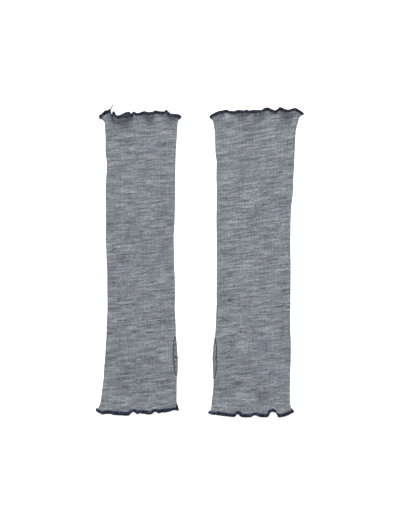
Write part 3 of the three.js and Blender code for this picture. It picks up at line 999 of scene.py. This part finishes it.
class NodeTree:
    """A geometry node tree with named inputs, whose result is kept as a plain mesh."""

    def __init__(self, name: str, sizes: Sequence[str], counts: Sequence[str] = ()) -> None:
        """Makes the tree's sockets, with one for the material last.

        Args:
            name: The tree's name.
            sizes: Names of the inputs that take any number.
            counts: Names of the inputs that take a whole number.
        """
        self.tree = bpy.data.node_groups.new(name, "GeometryNodeTree")
        sockets = [("Geometry", "OUTPUT", "Geometry"), ("Geometry", "INPUT", "Geometry")]
        sockets += [(label, "INPUT", "Float") for label in sizes]
        sockets += [(label, "INPUT", "Int") for label in counts]
        sockets += [("Material", "INPUT", "Material")]
        for label, way, kind in sockets:
            self.tree.interface.new_socket(label, in_out=way, socket_type=f"NodeSocket{kind}")
        self.add = partial(add_node, self.tree)
        self.source = self.add("NodeGroupInput").outputs

    def close(self, geometry: Source) -> None:
        """Realizes the instances, sets the material and ends the tree.

        Args:
            geometry: What the tree has made.
        """
        add = self.add
        real = add("GeometryNodeRealizeInstances", (geometry,))
        smooth = add("GeometryNodeSetShadeSmooth", {0: real, "Shade Smooth": True})
        look = {"Geometry": smooth, "Material": self.source["Material"]}
        add("NodeGroupOutput", (add("GeometryNodeSetMaterial", look),))

    def make(self, name: str, start: Piece, **values: Any) -> Piece:
        """Runs the tree on an object and keeps what it makes.

        Args:
            name: Name of the finished piece.
            start: The object that the tree starts from, which is used up.
            **values: A value for each named input, with _ for a space.

        Returns:
            The finished piece, a plain mesh with no modifier.
        """
        modifier = start.modifiers.new(self.tree.name, "NODES")
        modifier.node_group = self.tree
        labels = {key.replace("_", " ").title(): value for key, value in values.items()}
        for item in self.tree.interface.items_tree:
            if item.in_out == "INPUT" and item.name in labels:
                modifier[item.identifier] = labels[item.name]
        depsgraph = bpy.context.evaluated_depsgraph_get()
        mesh = bpy.data.meshes.new_from_object(start.evaluated_get(depsgraph))
        used_up = start.data
        bpy.data.objects.remove(start)
        bpy.data.meshes.remove(used_up)
        return mesh_object(name, mesh)


class RibRelief(NodeTree):
    """Raises the ribs of the knit on a smooth wall.

    The ribs wander a little, and some are flatter than others.
    """

    WANDER_SIZE = (14 * MM, 60 * MM, 1.0)
    FLAT_SIZE = (7 * MM, 30 * MM, 1.0)
    NOISE_GAIN = 3.0

    def __init__(self) -> None:
        """Builds the tree, whose inputs are Depth, Wander in ribs, Unevenness and Material."""
        super().__init__("rib relief", ("Depth", "Wander", "Unevenness"))
        add, source = self.add, self.source
        count = add(ATTRIBUTE, {"Name": RIB_COUNT}, data_type="FLOAT")
        drift = (self.uneven(self.WANDER_SIZE), source["Wander"], count)
        wandering = add(MATH, drift, operation="MULTIPLY_ADD")
        turn = add(MATH, (wandering, 2 * math.pi), operation="MULTIPLY")
        wave = add(MATH, (turn,), operation="COSINE")
        flatness = (self.uneven(self.FLAT_SIZE), source["Unevenness"], 1.0)
        strength = add(MATH, flatness, operation="MULTIPLY_ADD")
        height = add(MATH, (wave, strength), operation="MULTIPLY")
        marked = add(
            "GeometryNodeStoreNamedAttribute",
            {"Geometry": source["Geometry"], "Name": RIB_HEIGHT, "Value": height},
            data_type="FLOAT",
            domain="POINT",
        )
        lift = add(MATH, (height, source["Depth"]), operation="MULTIPLY")
        up = {0: add("GeometryNodeInputNormal"), "Scale": lift}
        offset = add("ShaderNodeVectorMath", up, operation="SCALE")
        self.close(add("GeometryNodeSetPosition", {"Geometry": marked, "Offset": offset}))

    def uneven(self, size: Sequence[float]) -> Source:
        """Adds an uneven value.

        Args:
            size: Size of its patches, in metres.

        Returns:
            The value, which is about 0 and mostly from -1 to 1.
        """
        add = self.add
        shrunk = (add("GeometryNodeInputPosition"), tuple(1 / side for side in size))
        scaled = add("ShaderNodeVectorMath", shrunk, operation="MULTIPLY")
        noise = add(NOISE, {"Vector": scaled, "Scale": 1.0, "Detail": 1.0})
        spread = (noise, self.NOISE_GAIN, -self.NOISE_GAIN / 2)
        return add(MATH, spread, operation="MULTIPLY_ADD")


@dataclass(frozen=True)
class Loop:
    """The form of a loop of thread.

    It is part of an ellipse, which sweeps so many degrees. Its middle reaches out, its legs lie
    half_side to each side, and slant is how far one leg lies from the other along the line.
    swell is how much its reach grows and shrinks along the line.
    """

    reach: float
    half_side: float
    thread_radius: float
    slant: float = 0.0
    sweep: float = 180.0
    swell: float = 0.0


class ThreadLoops(NodeTree):
    """Lays loops of thread along a line: wraps of an overlocked edge, or stitches.

    The middle of a loop reaches out along reach_way, and its legs lie along side_way.
    """

    PATH_POINTS = 9
    THREAD_SIDES = 5
    UNEVEN = 0.07
    SWELL_SIZE = 5 * MM

    def __init__(self) -> None:
        """Builds the tree, whose inputs are the sizes of a loop, in metres, and a seed."""
        sizes = ("Pitch", "Reach", "Half Side", "Slant", "Thread Radius", "Sweep", "Swell")
        super().__init__("thread loops", sizes, ("Seed",))
        add, source = self.add, self.source
        line = add("GeometryNodeMeshToCurve", {"Mesh": source["Geometry"]})
        spaced = {"Curve": line, "Length": source["Pitch"]}
        places = add("GeometryNodeResampleCurve", spaced, mode="LENGTH")
        chance = {2: 1 - self.UNEVEN, 3: 1 + self.UNEVEN, "Seed": source["Seed"]}
        uneven = add("FunctionNodeRandomValue", chance, data_type="FLOAT").outputs[1]
        ways = [
            add(ATTRIBUTE, {"Name": label}, data_type="FLOAT_VECTOR")
            for label in ("reach_way", "side_way")
        ]
        axes = {"primary_axis": "X", "secondary_axis": "Y"}
        turned = add("FunctionNodeAxesToRotation", ways, **axes)
        laid = {"Points": places, "Instance": self.loop(), "Rotation": turned}
        laid["Scale"] = self.size(uneven)
        self.close(add("GeometryNodeInstanceOnPoints", laid))

    def size(self, uneven: Source) -> Source:
        """Makes the reach of the loops swell and shrink along the line.

        Args:
            uneven: The size that each loop has by chance.

        Returns:
            The scale of each loop.
        """
        add = self.add
        place = add("GeometryNodeInputPosition")
        noise = add(NOISE, {"Vector": place, "Scale": 1 / self.SWELL_SIZE, "Detail": 0.0})
        about = add(MATH, (noise, 2.0, -1.0), operation="MULTIPLY_ADD")
        swell = add(MATH, (about, self.source["Swell"], uneven), operation="MULTIPLY_ADD")
        return add("ShaderNodeCombineXYZ", (swell, uneven, 1.0))

    def loop(self) -> Source:
        """Adds the nodes of one loop.

        Returns:
            Its mesh.
        """
        add, source = self.add, self.source
        start = add(MATH, (source["Sweep"], -0.5), operation="MULTIPLY")
        turn = {"Start Angle": start, "Sweep Angle": source["Sweep"]}
        circle = {"Resolution": self.PATH_POINTS, "Radius": 1.0, **turn}
        arc = add("GeometryNodeCurveArc", circle, mode="RADIUS")
        size = add("ShaderNodeCombineXYZ", (source["Reach"], source["Half Side"], 1.0))
        ellipse = add("GeometryNodeTransform", {"Geometry": arc, "Scale": size})
        from_middle = add(MATH, (add("GeometryNodeSplineParameter"), 0.5), operation="SUBTRACT")
        lean = add(MATH, (from_middle, source["Slant"]), operation="MULTIPLY")
        offset = add("ShaderNodeCombineXYZ", {"Z": lean})
        slanted = add("GeometryNodeSetPosition", {"Geometry": ellipse, "Offset": offset})
        ring = {"Resolution": self.THREAD_SIDES, "Radius": source["Thread Radius"]}
        section = add("GeometryNodeCurvePrimitiveCircle", ring, mode="RADIUS")
        thread = {"Curve": slanted, "Profile Curve": section, "Fill Caps": True}
        return add("GeometryNodeCurveToMesh", thread)

    def lay(
        self,
        name: str,
        line: Piece,
        pitch: float,
        loop: Loop,
        seed: int,
        material: bpy.types.Material,
    ) -> Piece:
        """Lays a row of loops.

        Args:
            name: The row's name.
            line: The line that it lies along, which is used up.
            pitch: How far apart the loops are, in millimetres.
            loop: Their form.
            seed: The seed of what is left to chance.
            material: Their thread.

        Returns:
            The row.
        """
        return self.make(
            name,
            line,
            pitch=pitch * MM,
            reach=loop.reach * MM,
            half_side=loop.half_side * MM,
            slant=loop.slant * MM,
            thread_radius=loop.thread_radius * MM,
            sweep=math.radians(loop.sweep),
            swell=loop.swell,
            seed=seed,
            material=material,
        )


# ---- finishes -----------------------------------------------------------------------------------


class Finish:
    """A procedural material with one Principled shader."""

    name: str

    def surface(self, add: Adder) -> dict[str, Value]:
        """Adds the nodes of the pattern and returns the inputs of the shader."""
        raise NotImplementedError

    def build(self) -> bpy.types.Material:
        """Builds the material.

        Returns:
            The finished material.
        """
        material = bpy.data.materials.new(self.name)
        material.use_nodes = True
        material.node_tree.nodes.clear()
        add = partial(add_node, material.node_tree)
        shader = add("ShaderNodeBsdfPrincipled", self.surface(add))
        add("ShaderNodeOutputMaterial", {"Surface": shader})
        return material


@dataclass(frozen=True)
class Patches:
    """Uneven tone of the yarn: how long and tall its patches are, and their share of the tone."""

    length: float
    height: float
    share: float


@dataclass(frozen=True)
class HeatherKnit(Finish):
    """Merino wool, spun from dark, grey and undyed fibres and knitted as a fine rib.

    The melange yarn gives short level streaks, one or two courses tall, where dark or light
    fibres gather. They waver as the courses do, and lean a little because a tube is knitted in a
    spiral. Wool nap makes it matte, with a soft sheen at grazing angles. The real loops are about
    half a millimetre tall and the real flecks as fine as a few fibres. Both are too fine to show,
    so courses, wales and flecks are drawn about twice as coarse.
    """

    name: str
    middle: str
    light: str
    seed: float
    dark: str = "#282d32"
    cool: str = "#6d7f85"
    warm: str = "#807a8a"
    course: float = 1.05
    wale: float = 1.13
    melange: tuple[Patches, ...] = table(
        Patches,
        (70, 30, 0.1), (22, 3.4, 0.46), (24, 1.5, 0.5), (12, 2.2, 0.32), (6, 1.6, 0.32),
        (3, 1.5, 0.4), (1.4, 1.1, 0.5), (2.4, 30, 0.14),
    )
    tint: float = 0.27
    tint_length: float = 14.0
    tint_height: float = 9.8
    spiral_lean: float = 0.08
    lean_gain: float = 0.0
    waver: float = 1.0
    waver_size: float = 34.0
    # Share of the tone that is painted shade from the rib relief.
    rib_share: float = 0.022
    stitch_slope: float = 0.9
    stitch_depth: float = 0.12

    # Which part of the endless pattern each use takes, and how far the pattern mostly reaches.
    MELANGE_STEP = 37.0
    WAVER_PLACE = 53.0
    COOL_PLACE = 5.0
    WARM_PLACE = 91.0
    PATTERN_REACH = 0.3

    def surface(self, add: Adder) -> dict[str, Value]:
        """Adds the streaks, the faint tints and the loops of the knit.

        Args:
            add: Adds a node to the material.

        Returns:
            The inputs of the shader.
        """
        knit = add("ShaderNodeUVMap", uv_map=CLOTH_UV)
        courses = self.wavering(add, knit)
        # Painted shade: the tone follows the rib relief, darker in the furrows and lighter on the
        # crests.
        rib = add("ShaderNodeAttribute", attribute_name=RIB_HEIGHT).outputs["Fac"]
        tone = add(MATH, (rib, self.rib_share, 0.5), operation="MULTIPLY_ADD")
        for number, patches in enumerate(self.melange):
            place = self.MELANGE_STEP * number
            uneven = self.pattern(add, courses, patches.length, patches.height, place)
            tone = add(MATH, (uneven, patches.share, tone), operation="MULTIPLY_ADD")
        stops = ((0.0, self.dark), (0.5, self.middle), (1.0, self.light))
        wool = add("ShaderNodeValToRGB", {"Fac": tone}, stops)
        for colour, place in ((self.cool, self.COOL_PLACE), (self.warm, self.WARM_PLACE)):
            wool = self.tinted(add, knit, wool, colour, place)
        yarn = {"Distance": self.stitch_depth * MM, "Height": self.stitches(add, knit)}
        return {
            "Base Color": wool,
            "Roughness": 0.95,
            "IOR": 1.45,
            "Specular IOR Level": 0.2,
            "Sheen Weight": 0.15,
            "Sheen Roughness": 0.6,
            "Normal": add("ShaderNodeBump", {"Strength": 0.6, **yarn}),
        }

    def wavering(self, add: Adder, knit: Source) -> Source:
        """Bends and leans the courses.

        Args:
            add: Adds a node to the material.
            knit: The knit's own measure, in millimetres.

        Returns:
            The same measure along wavering courses.
        """
        drift = self.pattern(add, knit, self.waver_size, self.waver_size, self.WAVER_PLACE)
        part = add("ShaderNodeSeparateXYZ", (knit,)).outputs
        spiral = (part[1], -self.lean_gain, -self.spiral_lean)
        lean = add(MATH, spiral, operation="MULTIPLY_ADD")
        leaned = add(MATH, (part[0], lean, part[1]), operation="MULTIPLY_ADD")
        wavy = add(MATH, (drift, self.waver, leaned), operation="MULTIPLY_ADD")
        return add("ShaderNodeCombineXYZ", (part[0], wavy))

    def pattern(
        self, add: Adder, measure: Source, length: float, height: float, place: float
    ) -> Source:
        """Adds uneven patches of a given size.

        Args:
            add: Adds a node to the material.
            measure: Where the pattern is read, in millimetres.
            length: Length of a patch along a course.
            height: Height of a patch.
            place: Which part of the endless pattern is used.

        Returns:
            A value about 0, mostly within PATTERN_REACH of it.
        """
        mapping = {"Location": (place + self.seed, place, 0), "Scale": (1 / length, 1 / height, 1)}
        scaled = add("ShaderNodeMapping", {"Vector": measure, **mapping})
        detail = {"Vector": scaled, "Scale": 1.0, "Detail": 1.0}
        noise = add(NOISE, detail, noise_dimensions="2D")
        return add(MATH, (noise, 0.5), operation="SUBTRACT")

    def tinted(self, add: Adder, knit: Source, wool: Source, colour: str, place: float) -> Source:
        """Lays a faint tint on the wool in broad patches.

        Args:
            add: Adds a node to the material.
            knit: The knit's own measure.
            wool: The wool's colour so far.
            colour: The tint.
            place: Which part of the endless pattern is used.

        Returns:
            The tinted colour.
        """
        patches = self.pattern(add, knit, self.tint_length, self.tint_height, place)
        reach = {"From Max": self.PATTERN_REACH, "To Max": self.tint}
        share = add("ShaderNodeMapRange", {"Value": patches, **reach})
        both = {0: share, 6: wool, 7: linear(colour)}
        return add("ShaderNodeMix", both, data_type="RGBA").outputs[2]

    def stitches(self, add: Adder, knit: Source) -> Source:
        """Adds the V of each knit stitch.

        Args:
            add: Adds a node to the material.
            knit: The knit's own measure.

        Returns:
            The height of the yarn, from 0 to 1.
        """
        part = add("ShaderNodeSeparateXYZ", (knit,)).outputs
        wale = add(MATH, (part[0], self.wale), operation="PINGPONG")
        climb = add(MATH, (wale, self.stitch_slope, part[1]), operation="MULTIPLY_ADD")
        turn = add(MATH, (climb, 2 * math.pi / self.course), operation="MULTIPLY")
        wave = add(MATH, (turn,), operation="SINE")
        return add(MATH, (wave, 0.5, 0.5), operation="MULTIPLY_ADD")


@dataclass(frozen=True)
class SewingThread(Finish):
    """Textured polyamide or polyester thread, twisted and dyed.

    Its loose filaments catch the light as small paler bits on a deep ground, with a slight sheen.
    The filaments are far too fine to show, so they are drawn as bits a few millimetres long.
    """

    name: str
    ground: str
    filament: str
    glint: str
    roughness: float
    bit: float = 2.3
    fibre: float = 0.35
    fibre_depth: float = 0.1

    # Where the ground ends, where the filaments have their own colour and where glints begin.
    STOPS = (0.36, 0.51, 0.68)

    def surface(self, add: Adder) -> dict[str, Value]:
        """Adds the filaments.

        Args:
            add: Adds a node to the material.

        Returns:
            The inputs of the shader.
        """
        place = add("ShaderNodeTexCoord").outputs["Object"]
        sizes = {"Scale": 1 / (self.bit * MM), "Detail": 2.0, "Roughness": 0.6}
        bits = add(NOISE, {"Vector": place, **sizes})
        stops = tuple(zip(self.STOPS, (self.ground, self.filament, self.glint)))
        fibres = add(NOISE, {"Vector": place, "Scale": 1 / (self.fibre * MM), "Detail": 1.0})
        raised = {"Strength": 0.4, "Distance": self.fibre_depth * MM, "Height": fibres}
        return {
            "Base Color": add("ShaderNodeValToRGB", {"Fac": bits}, stops),
            "Roughness": self.roughness,
            "Specular IOR Level": 0.2,
            "Sheen Weight": 0.05,
            "Normal": add("ShaderNodeBump", raised),
        }


@dataclass(frozen=True)
class LightTable(Finish):
    """Opal acrylic, cast, lit evenly from behind. It stays white where the cloth shades it."""

    name: str = "acrylic_opal_cast_backlit"
    white: str = "#ebebeb"
    glow: float = 0.8

    def surface(self, add: Adder) -> dict[str, Value]:
        """Returns the inputs of the shader, the same all over."""
        return {
            "Base Color": linear(self.white),
            "Roughness": 0.9,
            "Specular IOR Level": 0.1,
            "Emission Color": WHITE,
            "Emission Strength": self.glow,
        }


class Finishes:
    """The materials of the pair, made once. Each warmer's knit is its own stretch of yarn.

    The navy thread is drawn paler and bluer at the hand ends. That is painted light: it makes those
    bands look lit, though they lie in shade.
    """

    TURNED_PLACE = 97

    def __init__(self) -> None:
        """Builds every material."""
        yarns = {
            "left": {"middle": "#787d82", "light": "#b2b7bc", "seed": 0.0, "spiral_lean": 0.085},
            "right": {
                "middle": "#7a7f84",
                "light": "#b5babf",
                "seed": 431.0,
                "spiral_lean": 0.045,
                "lean_gain": 0.0004,
            },
        }
        inside = {"dark": "#3f4044", "middle": "#6c6d70", "light": "#98999d", "warm": "#7a7573"}
        self.knit, self.turned = {}, {}
        for warmer, yarn in yarns.items():
            name = f"merino_wool_heather_rib_knitted_{warmer}"
            self.knit[warmer] = HeatherKnit(name, **yarn).build()
            name = f"merino_wool_heather_rib_turned_{warmer}"
            seed = yarn["seed"] + self.TURNED_PLACE
            self.turned[warmer] = HeatherKnit(name, **inside, seed=seed).build()
        looks = {
            Thread.CORE: ("#07090f", "#111523", "#262c40", 0.6),
            Thread.NAVY: ("#080a12", "#181d2f", "#434d69", 0.6),
            # A paler, bluer copy of the navy thread: painted light for the hand-end bands.
            Thread.RUBBED: ("#0c101b", "#232b43", "#58658a", 0.6),
            Thread.GREY: ("#8d9096", "#a9acb2", "#c4c7cc", 0.7),
            # Also laid along the slit's edges, where it is partly painted shade.
            Thread.DARK: ("#36373d", "#484950", "#62636b", 0.7),
        }
        self.threads = {
            thread: SewingThread(thread.value, *look).build() for thread, look in looks.items()
        }


# ---- the pieces of a warmer ---------------------------------------------------------------------


@dataclass
class Workshop:
    """What every piece is made with: the cloth's sizes, the materials and the node trees."""

    cloth: Cloth
    finishes: Finishes
    rib_relief: RibRelief
    thread_loops: ThreadLoops


@dataclass
class TubeBody:
    """The folded panel of rib knit, open at both ends and along the thumb slit."""

    form: ClothForm
    shop: Workshop
    start: float = 2.2
    end_pitch: float = 0.75
    slit_pitch: float = 1.25
    pitch: float = 2.35
    end_reach: float = 11.0
    slit_reach: float = 5.0
    rim_blend: float = 1.0
    rib_depth: float = 0.08
    rib_wander: float = 0.3
    rib_unevenness: float = 0.6

    def heights(self) -> np.ndarray:
        """Lays out the rows, close together at both ends and at the ends of the slit.

        Returns:
            Their heights.
        """
        cut = self.form.cut
        marks = [(self.start, self.end_pitch), (self.end_reach, self.pitch)]
        for slit_end in (cut.slit_from, cut.slit_to):
            marks += [
                (slit_end - self.slit_reach, self.slit_pitch),
                (slit_end, self.slit_pitch),
                (slit_end + self.slit_reach, self.pitch),
            ]
        marks += [(cut.length - self.end_reach, self.end_pitch)]
        stops = [mark[0] for mark in marks[1:]] + [cut.length - self.start]
        rows = [steps(low, high, pitch) for (low, pitch), high in zip(marks, stops)]
        return np.concatenate([*rows, [cut.length - self.start]])

    def build(self) -> Piece:
        """Makes the body.

        Returns:
            The body, with its ribs and its material.
        """
        cloth, cut = self.shop.cloth, self.form.cut
        heights = self.heights()
        to_end = np.minimum(heights, cut.length - heights)
        rim = cloth.edge_width
        inside_edge = 1 - ease(to_end, rim - self.rim_blend, rim + self.rim_blend)
        thickness = mix(cloth.wall, cloth.rim_wall, inside_edge)[:, None]
        smooth = wall(f"{cut.name}_smooth", self.form.grid(heights), thickness)
        return self.shop.rib_relief.make(
            f"{cut.name}_warmer_body",
            smooth,
            depth=self.rib_depth * MM,
            wander=self.rib_wander,
            unevenness=self.rib_unevenness,
            material=self.shop.finishes.knit[cut.name],
        )


@dataclass
class OverlockedEdge:
    """The fluted edge round one end: a core of gathered cloth and thread, with thread round it.

    The real wraps are about half as thick and half as far apart. They are drawn coarser to show.
    """

    form: ClothForm
    shop: Workshop
    end: End
    section: tuple[int, ...] = (-90, -62, -38, -18, 0, 18, 38, 62, 90)
    core_thick: float = 1.2
    rim_thick: float = 0.15
    wrap_pitch: float = 0.85
    wrap: Loop = Loop(
        reach=2.6, half_side=0.54, thread_radius=0.27, slant=0.5, sweep=250.0, swell=0.3
    )

    SEEDS = {End.ARM: 11, End.HAND: 23}
    # The hand ends take the paler copy of the navy thread, which is painted light.
    THREADS = {End.ARM: Thread.NAVY, End.HAND: Thread.RUBBED}

    def build(self) -> tuple[Piece, Piece]:
        """Makes the edge.

        Returns:
            Its core and its wraps.
        """
        cloth, cut, finishes = self.shop.cloth, self.form.cut, self.shop.finishes
        name = f"{cut.name}_{self.end.value}_edge"
        turn = np.radians(self.section)
        middle = cloth.edge_width / 2
        inward = middle - middle * np.sin(turn)
        heights = inward if self.end is End.HAND else cut.length - inward
        thickness = (self.rim_thick + (self.core_thick - self.rim_thick) * np.cos(turn))[:, None]
        order = np.argsort(heights)
        grid = self.form.grid(heights[order])
        inside = finishes.threads[Thread.CORE]
        core = wall(f"{name}_core", grid, thickness[order], material=inside)

        row = len(turn) // 2
        outward = 1 if self.end is End.ARM else -1
        reach_way = unit(grid.points[row + 1] - grid.points[row - 1]) * outward
        seat = grid.points[row] - reach_way * (self.wrap.reach - middle)
        ring = (part[:-1] for part in (seat, reach_way, grid.normals[row]))
        line = line_object(f"{name}_line", *ring, closed=True)
        thread, seed = finishes.threads[self.THREADS[self.end]], self.SEEDS[self.end]
        lay = self.shop.thread_loops.lay
        return core, lay(f"{name}_wraps", line, self.wrap_pitch, self.wrap, seed, thread)


@dataclass
class ThumbHem:
    """The turned hem on one side of the slit, with its line of stitches and a row of dark thread
    along its edge. That row is partly overcasting and partly painted shade: it draws the shadow
    line along the slit's edge.

    The real stitches are finer and closer. They are drawn coarser to show.
    """

    form: ClothForm
    shop: Workshop
    layer: Layer
    width_columns: int = 15
    seat_gap: float = 0.2
    soft_rim: float = 0.35
    rim_power: int = 6
    end_margin: float = 1.5
    pitch: float = 1.3
    stitch: Loop = Loop(reach=0.45, half_side=1.15, thread_radius=0.34)
    stitch_inset: float = 2.6
    stitch_sink: float = 0.05
    # Dark loops along the rim: partly overcasting, partly painted shade for the shadow line at the
    # slit's edge.
    overcast: Loop = Loop(reach=0.45, half_side=0.95, thread_radius=0.36)
    overcast_pitch: float = 2.1
    overcast_stand: float = 0.1

    SEED = 5

    def build(self) -> tuple[Piece, ...]:
        """Makes the hem.

        Returns:
            The hem, its stitches, and the dark thread along its edge, partly overcasting and partly
            painted shade.
        """
        cloth, cut = self.shop.cloth, self.form.cut
        name = f"{cut.name}_thumb_hem_{self.layer.value}"
        last = cut.slit_to - self.end_margin
        heights = np.append(steps(cut.slit_from + self.end_margin, last, self.pitch), last)
        on_front = self.layer is Layer.FRONT
        columns = slice(0, self.width_columns) if on_front else slice(-self.width_columns, None)
        grid = self.form.grid(heights).columns(columns)
        across = np.abs(np.linspace(-1, 1, self.width_columns))
        rounded = np.maximum(1 - across**self.rim_power, self.soft_rim)[None, :]
        inward = -(cloth.wall / 2 + self.seat_gap + cloth.turn_thick / 2)
        hem = self.shop.rib_relief.make(
            f"{name}_strip",
            wall(f"{name}_smooth", grid, cloth.turn_thick * rounded, inward),
            depth=0.0,
            wander=0.0,
            unevenness=0.0,
            material=self.shop.finishes.turned[cut.name],
        )

        # The stitches show outside on the front layer, and inside on the back one, in the slit.
        inset = round(self.stitch_inset * cloth.columns_per_rib / cloth.rib_pitch)
        way = 1 if on_front else -1
        surface = cloth.wall / 2 + (0 if on_front else self.seat_gap + cloth.turn_thick)
        column = inset if on_front else -1 - inset
        facing = grid.normals[:, column] * way
        seat = grid.points[:, column] + facing * (surface - self.stitch_sink)
        sewn = (cut.slit_stitch_pitch, self.stitch, Thread.GREY)
        stitches = self.sew(f"{name}_stitches", seat, facing, *sewn)
        # Painted shade: a row of dark thread along the rim draws the shadow line at the slit's
        # edge, besides overcasting it.
        rim, beside = (0, 1) if on_front else (-1, -2)
        outward = unit(grid.points[:, rim] - grid.points[:, beside])
        seat = grid.points[:, rim] + outward * self.overcast_stand
        seat = seat - grid.normals[:, rim] * cloth.wall / 2
        sewn = (self.overcast_pitch, self.overcast, Thread.DARK)
        return hem, stitches, self.sew(f"{name}_overcast", seat, outward, *sewn)

    def sew(
        self,
        name: str,
        seat: np.ndarray,
        facing: np.ndarray,
        pitch: float,
        stitch: Loop,
        thread: Thread,
    ) -> Piece:
        """Sews a row of stitches.

        Args:
            name: The row's name.
            seat: The line that it is sewn along.
            facing: Which way the stitches stand out, at each place.
            pitch: How far apart they are.
            stitch: Their form.
            thread: Their thread.

        Returns:
            The row.
        """
        line = line_object(f"{name}_line", seat, facing, np.gradient(seat, axis=0), closed=False)
        material = self.shop.finishes.threads[thread]
        return self.shop.thread_loops.lay(name, line, pitch, stitch, self.SEED, material)


@dataclass
class Warmer:
    """One whole warmer."""

    cut: Cut
    shop: Workshop
    end_points: int = 9
    end_sides: int = 8

    def build(self) -> None:
        form = ClothForm(self.cut, self.shop.cloth)
        name = self.cut.name
        body = TubeBody(form, self.shop).build()
        self.claim(body, "knit", f"{name}_body")
        trims = []
        for end in End:
            core, wraps = OverlockedEdge(form, self.shop, end).build()
            self.claim(core, "overlock", f"{name}_{end.value}_edge")
            self.claim(wraps, "overlock")
            trims += [core, wraps]
        for layer in Layer:
            hem, *rows = ThumbHem(form, self.shop, layer).build()
            self.claim(hem, "turned_hem", f"{name}_thumb_hem_{layer.value}")
            for row in rows:
                self.claim(row, "turned_hem")
            trims += [hem, *rows]
        for loose in self.cut.thread_ends:
            end_piece = self.thread_end(form, loose)
            self.claim(end_piece, "overlock")
            trims.append(end_piece)

    def thread_end(self, form: ClothForm, loose: ThreadEnd) -> Piece:
        """Makes one loose end of thread.

        Args:
            form: The warmer's form, for its place.
            loose: The end's path and thread.

        Returns:
            The thread.
        """
        at = np.linspace(0, 1, self.end_points)
        marks = np.linspace(0, 1, len(loose.path))
        columns = zip(*((mark.x, mark.up, mark.z, mark.radius) for mark in loose.path))
        x, up, z, radius = (SmoothCurve(marks, column)(at) for column in columns)
        middle = np.stack([x, up, z], axis=-1) + form.place
        material = self.shop.finishes.threads[loose.thread]
        return tube(f"{self.cut.name}_{loose.name}", middle, radius, self.end_sides, material)

    def claim(self, piece: Piece, slot: str, *nodes: str) -> None:
        """Rides a piece on the body, hides the CAD solids that it stands for, and logs its
        triangles.

        Args:
            piece: The finished piece.
            slot: The record's material slot. It is not used.
            *nodes: CAD nodes that it stands for.
        """
        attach(piece, BODY)
        if nodes:
            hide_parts(*nodes)
        triangles = sum(len(p.vertices) - 2 for p in piece.data.polygons)
        LOG.info("%s: %d triangles", piece.name, triangles)


# ---- the studio ---------------------------------------------------------------------------------


@dataclass(frozen=True)
class Lamp:
    """A large soft lamp.

    It stands in the direction heading, in degrees from +X towards +Y, so many degrees high.
    """

    name: str
    heading: float
    elevation: float
    energy: float
    colour: str


@dataclass
class Studio:
    """A plain pale floor, soft light from beyond the forearm ends, and a camera straight above.

    Its sizes are in metres. The floor lies just below the lowest ribs.
    """

    floor_size: float = 6.0
    floor_drop: float = 0.00013
    world_strength: float = 0.36
    lamps: tuple[Lamp, ...] = table(
        Lamp,
        ("key_light", 90.0, 38.0, 113.0, "#ffffff"),
        ("fill_light", -86.0, 36.0, 15.0, "#e4ebff"),
    )
    lamp_size: float = 2.0
    lamp_distance: float = 3.0
    camera_height: float = 3.0
    camera_reach: float = 50.0
    frame_height: float = 0.598
    frame_shift_up: float = 0.0026
    sensor: float = 36.0

    def build(self) -> None:
        """Makes the floor, the lights and the camera."""
        self.lay_floor()
        self.light()
        self.set_camera()
        LOG.info("studio: floor, lights and camera")

    def lay_floor(self) -> None:
        """Lays the floor just below the part."""
        half = self.floor_size / 2
        corners = ((-half, -half), (half, -half), (half, half), (-half, half))
        mesh = bpy.data.meshes.new("studio_floor")
        mesh.from_pydata([(x, y, -self.floor_drop) for x, y in corners], [], [(0, 1, 2, 3)])
        floor = mesh_object("studio_floor", mesh, LightTable().build())
        floor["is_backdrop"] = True

    def light(self) -> None:
        """Sets an even sky and two large soft lamps."""
        scene = bpy.context.scene
        scene.view_settings.view_transform = "Standard"
        world = bpy.data.worlds.new("studio_sky")
        world.use_nodes = True
        background = world.node_tree.nodes["Background"]
        background.inputs["Color"].default_value = WHITE
        background.inputs["Strength"].default_value = self.world_strength
        scene.world = world
        for lamp in self.lamps:
            self.hang(lamp)

    def hang(self, lamp: Lamp) -> None:
        """Hangs one square lamp that faces the part.

        Args:
            lamp: Where it hangs, its watts and its colour.
        """
        data = bpy.data.lights.new(lamp.name, "AREA")
        data.energy = lamp.energy
        data.size = self.lamp_size
        data.color = linear(lamp.colour)[:3]
        hung = bpy.data.objects.new(lamp.name, data)
        tilt, turn = math.radians(lamp.elevation), math.radians(lamp.heading)
        way = (math.cos(tilt) * math.cos(turn), math.cos(tilt) * math.sin(turn), math.sin(tilt))
        hung.location = [self.lamp_distance * part for part in way]
        hung.rotation_mode = "QUATERNION"
        hung.rotation_quaternion = hung.location.to_track_quat("Z", "Y")
        bpy.context.scene.collection.objects.link(hung)

    def set_camera(self) -> None:
        """Hangs the camera straight above, with its top towards the forearm ends."""
        low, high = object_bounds()
        data = bpy.data.cameras.new("camera")
        data.sensor_width = self.sensor
        data.lens = self.sensor * self.camera_height / self.frame_height
        data.clip_end = self.camera_reach
        camera = bpy.data.objects.new("camera", data)
        up = (low.y + high.y) / 2 + self.frame_shift_up
        camera.location = ((low.x + high.x) / 2, up, self.camera_height)
        bpy.context.scene.collection.objects.link(camera)
        bpy.context.scene.camera = camera


def main() -> None:
    """Builds the pair and the studio."""
    logging.basicConfig(level=logging.INFO, format="%(name)s: %(message)s")
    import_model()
    shop = Workshop(Cloth(), Finishes(), RibRelief(), ThreadLoops())
    Studio().build()
    for cut in (LEFT, RIGHT):
        Warmer(cut, shop).build()


if __name__ == "__main__":
    main()
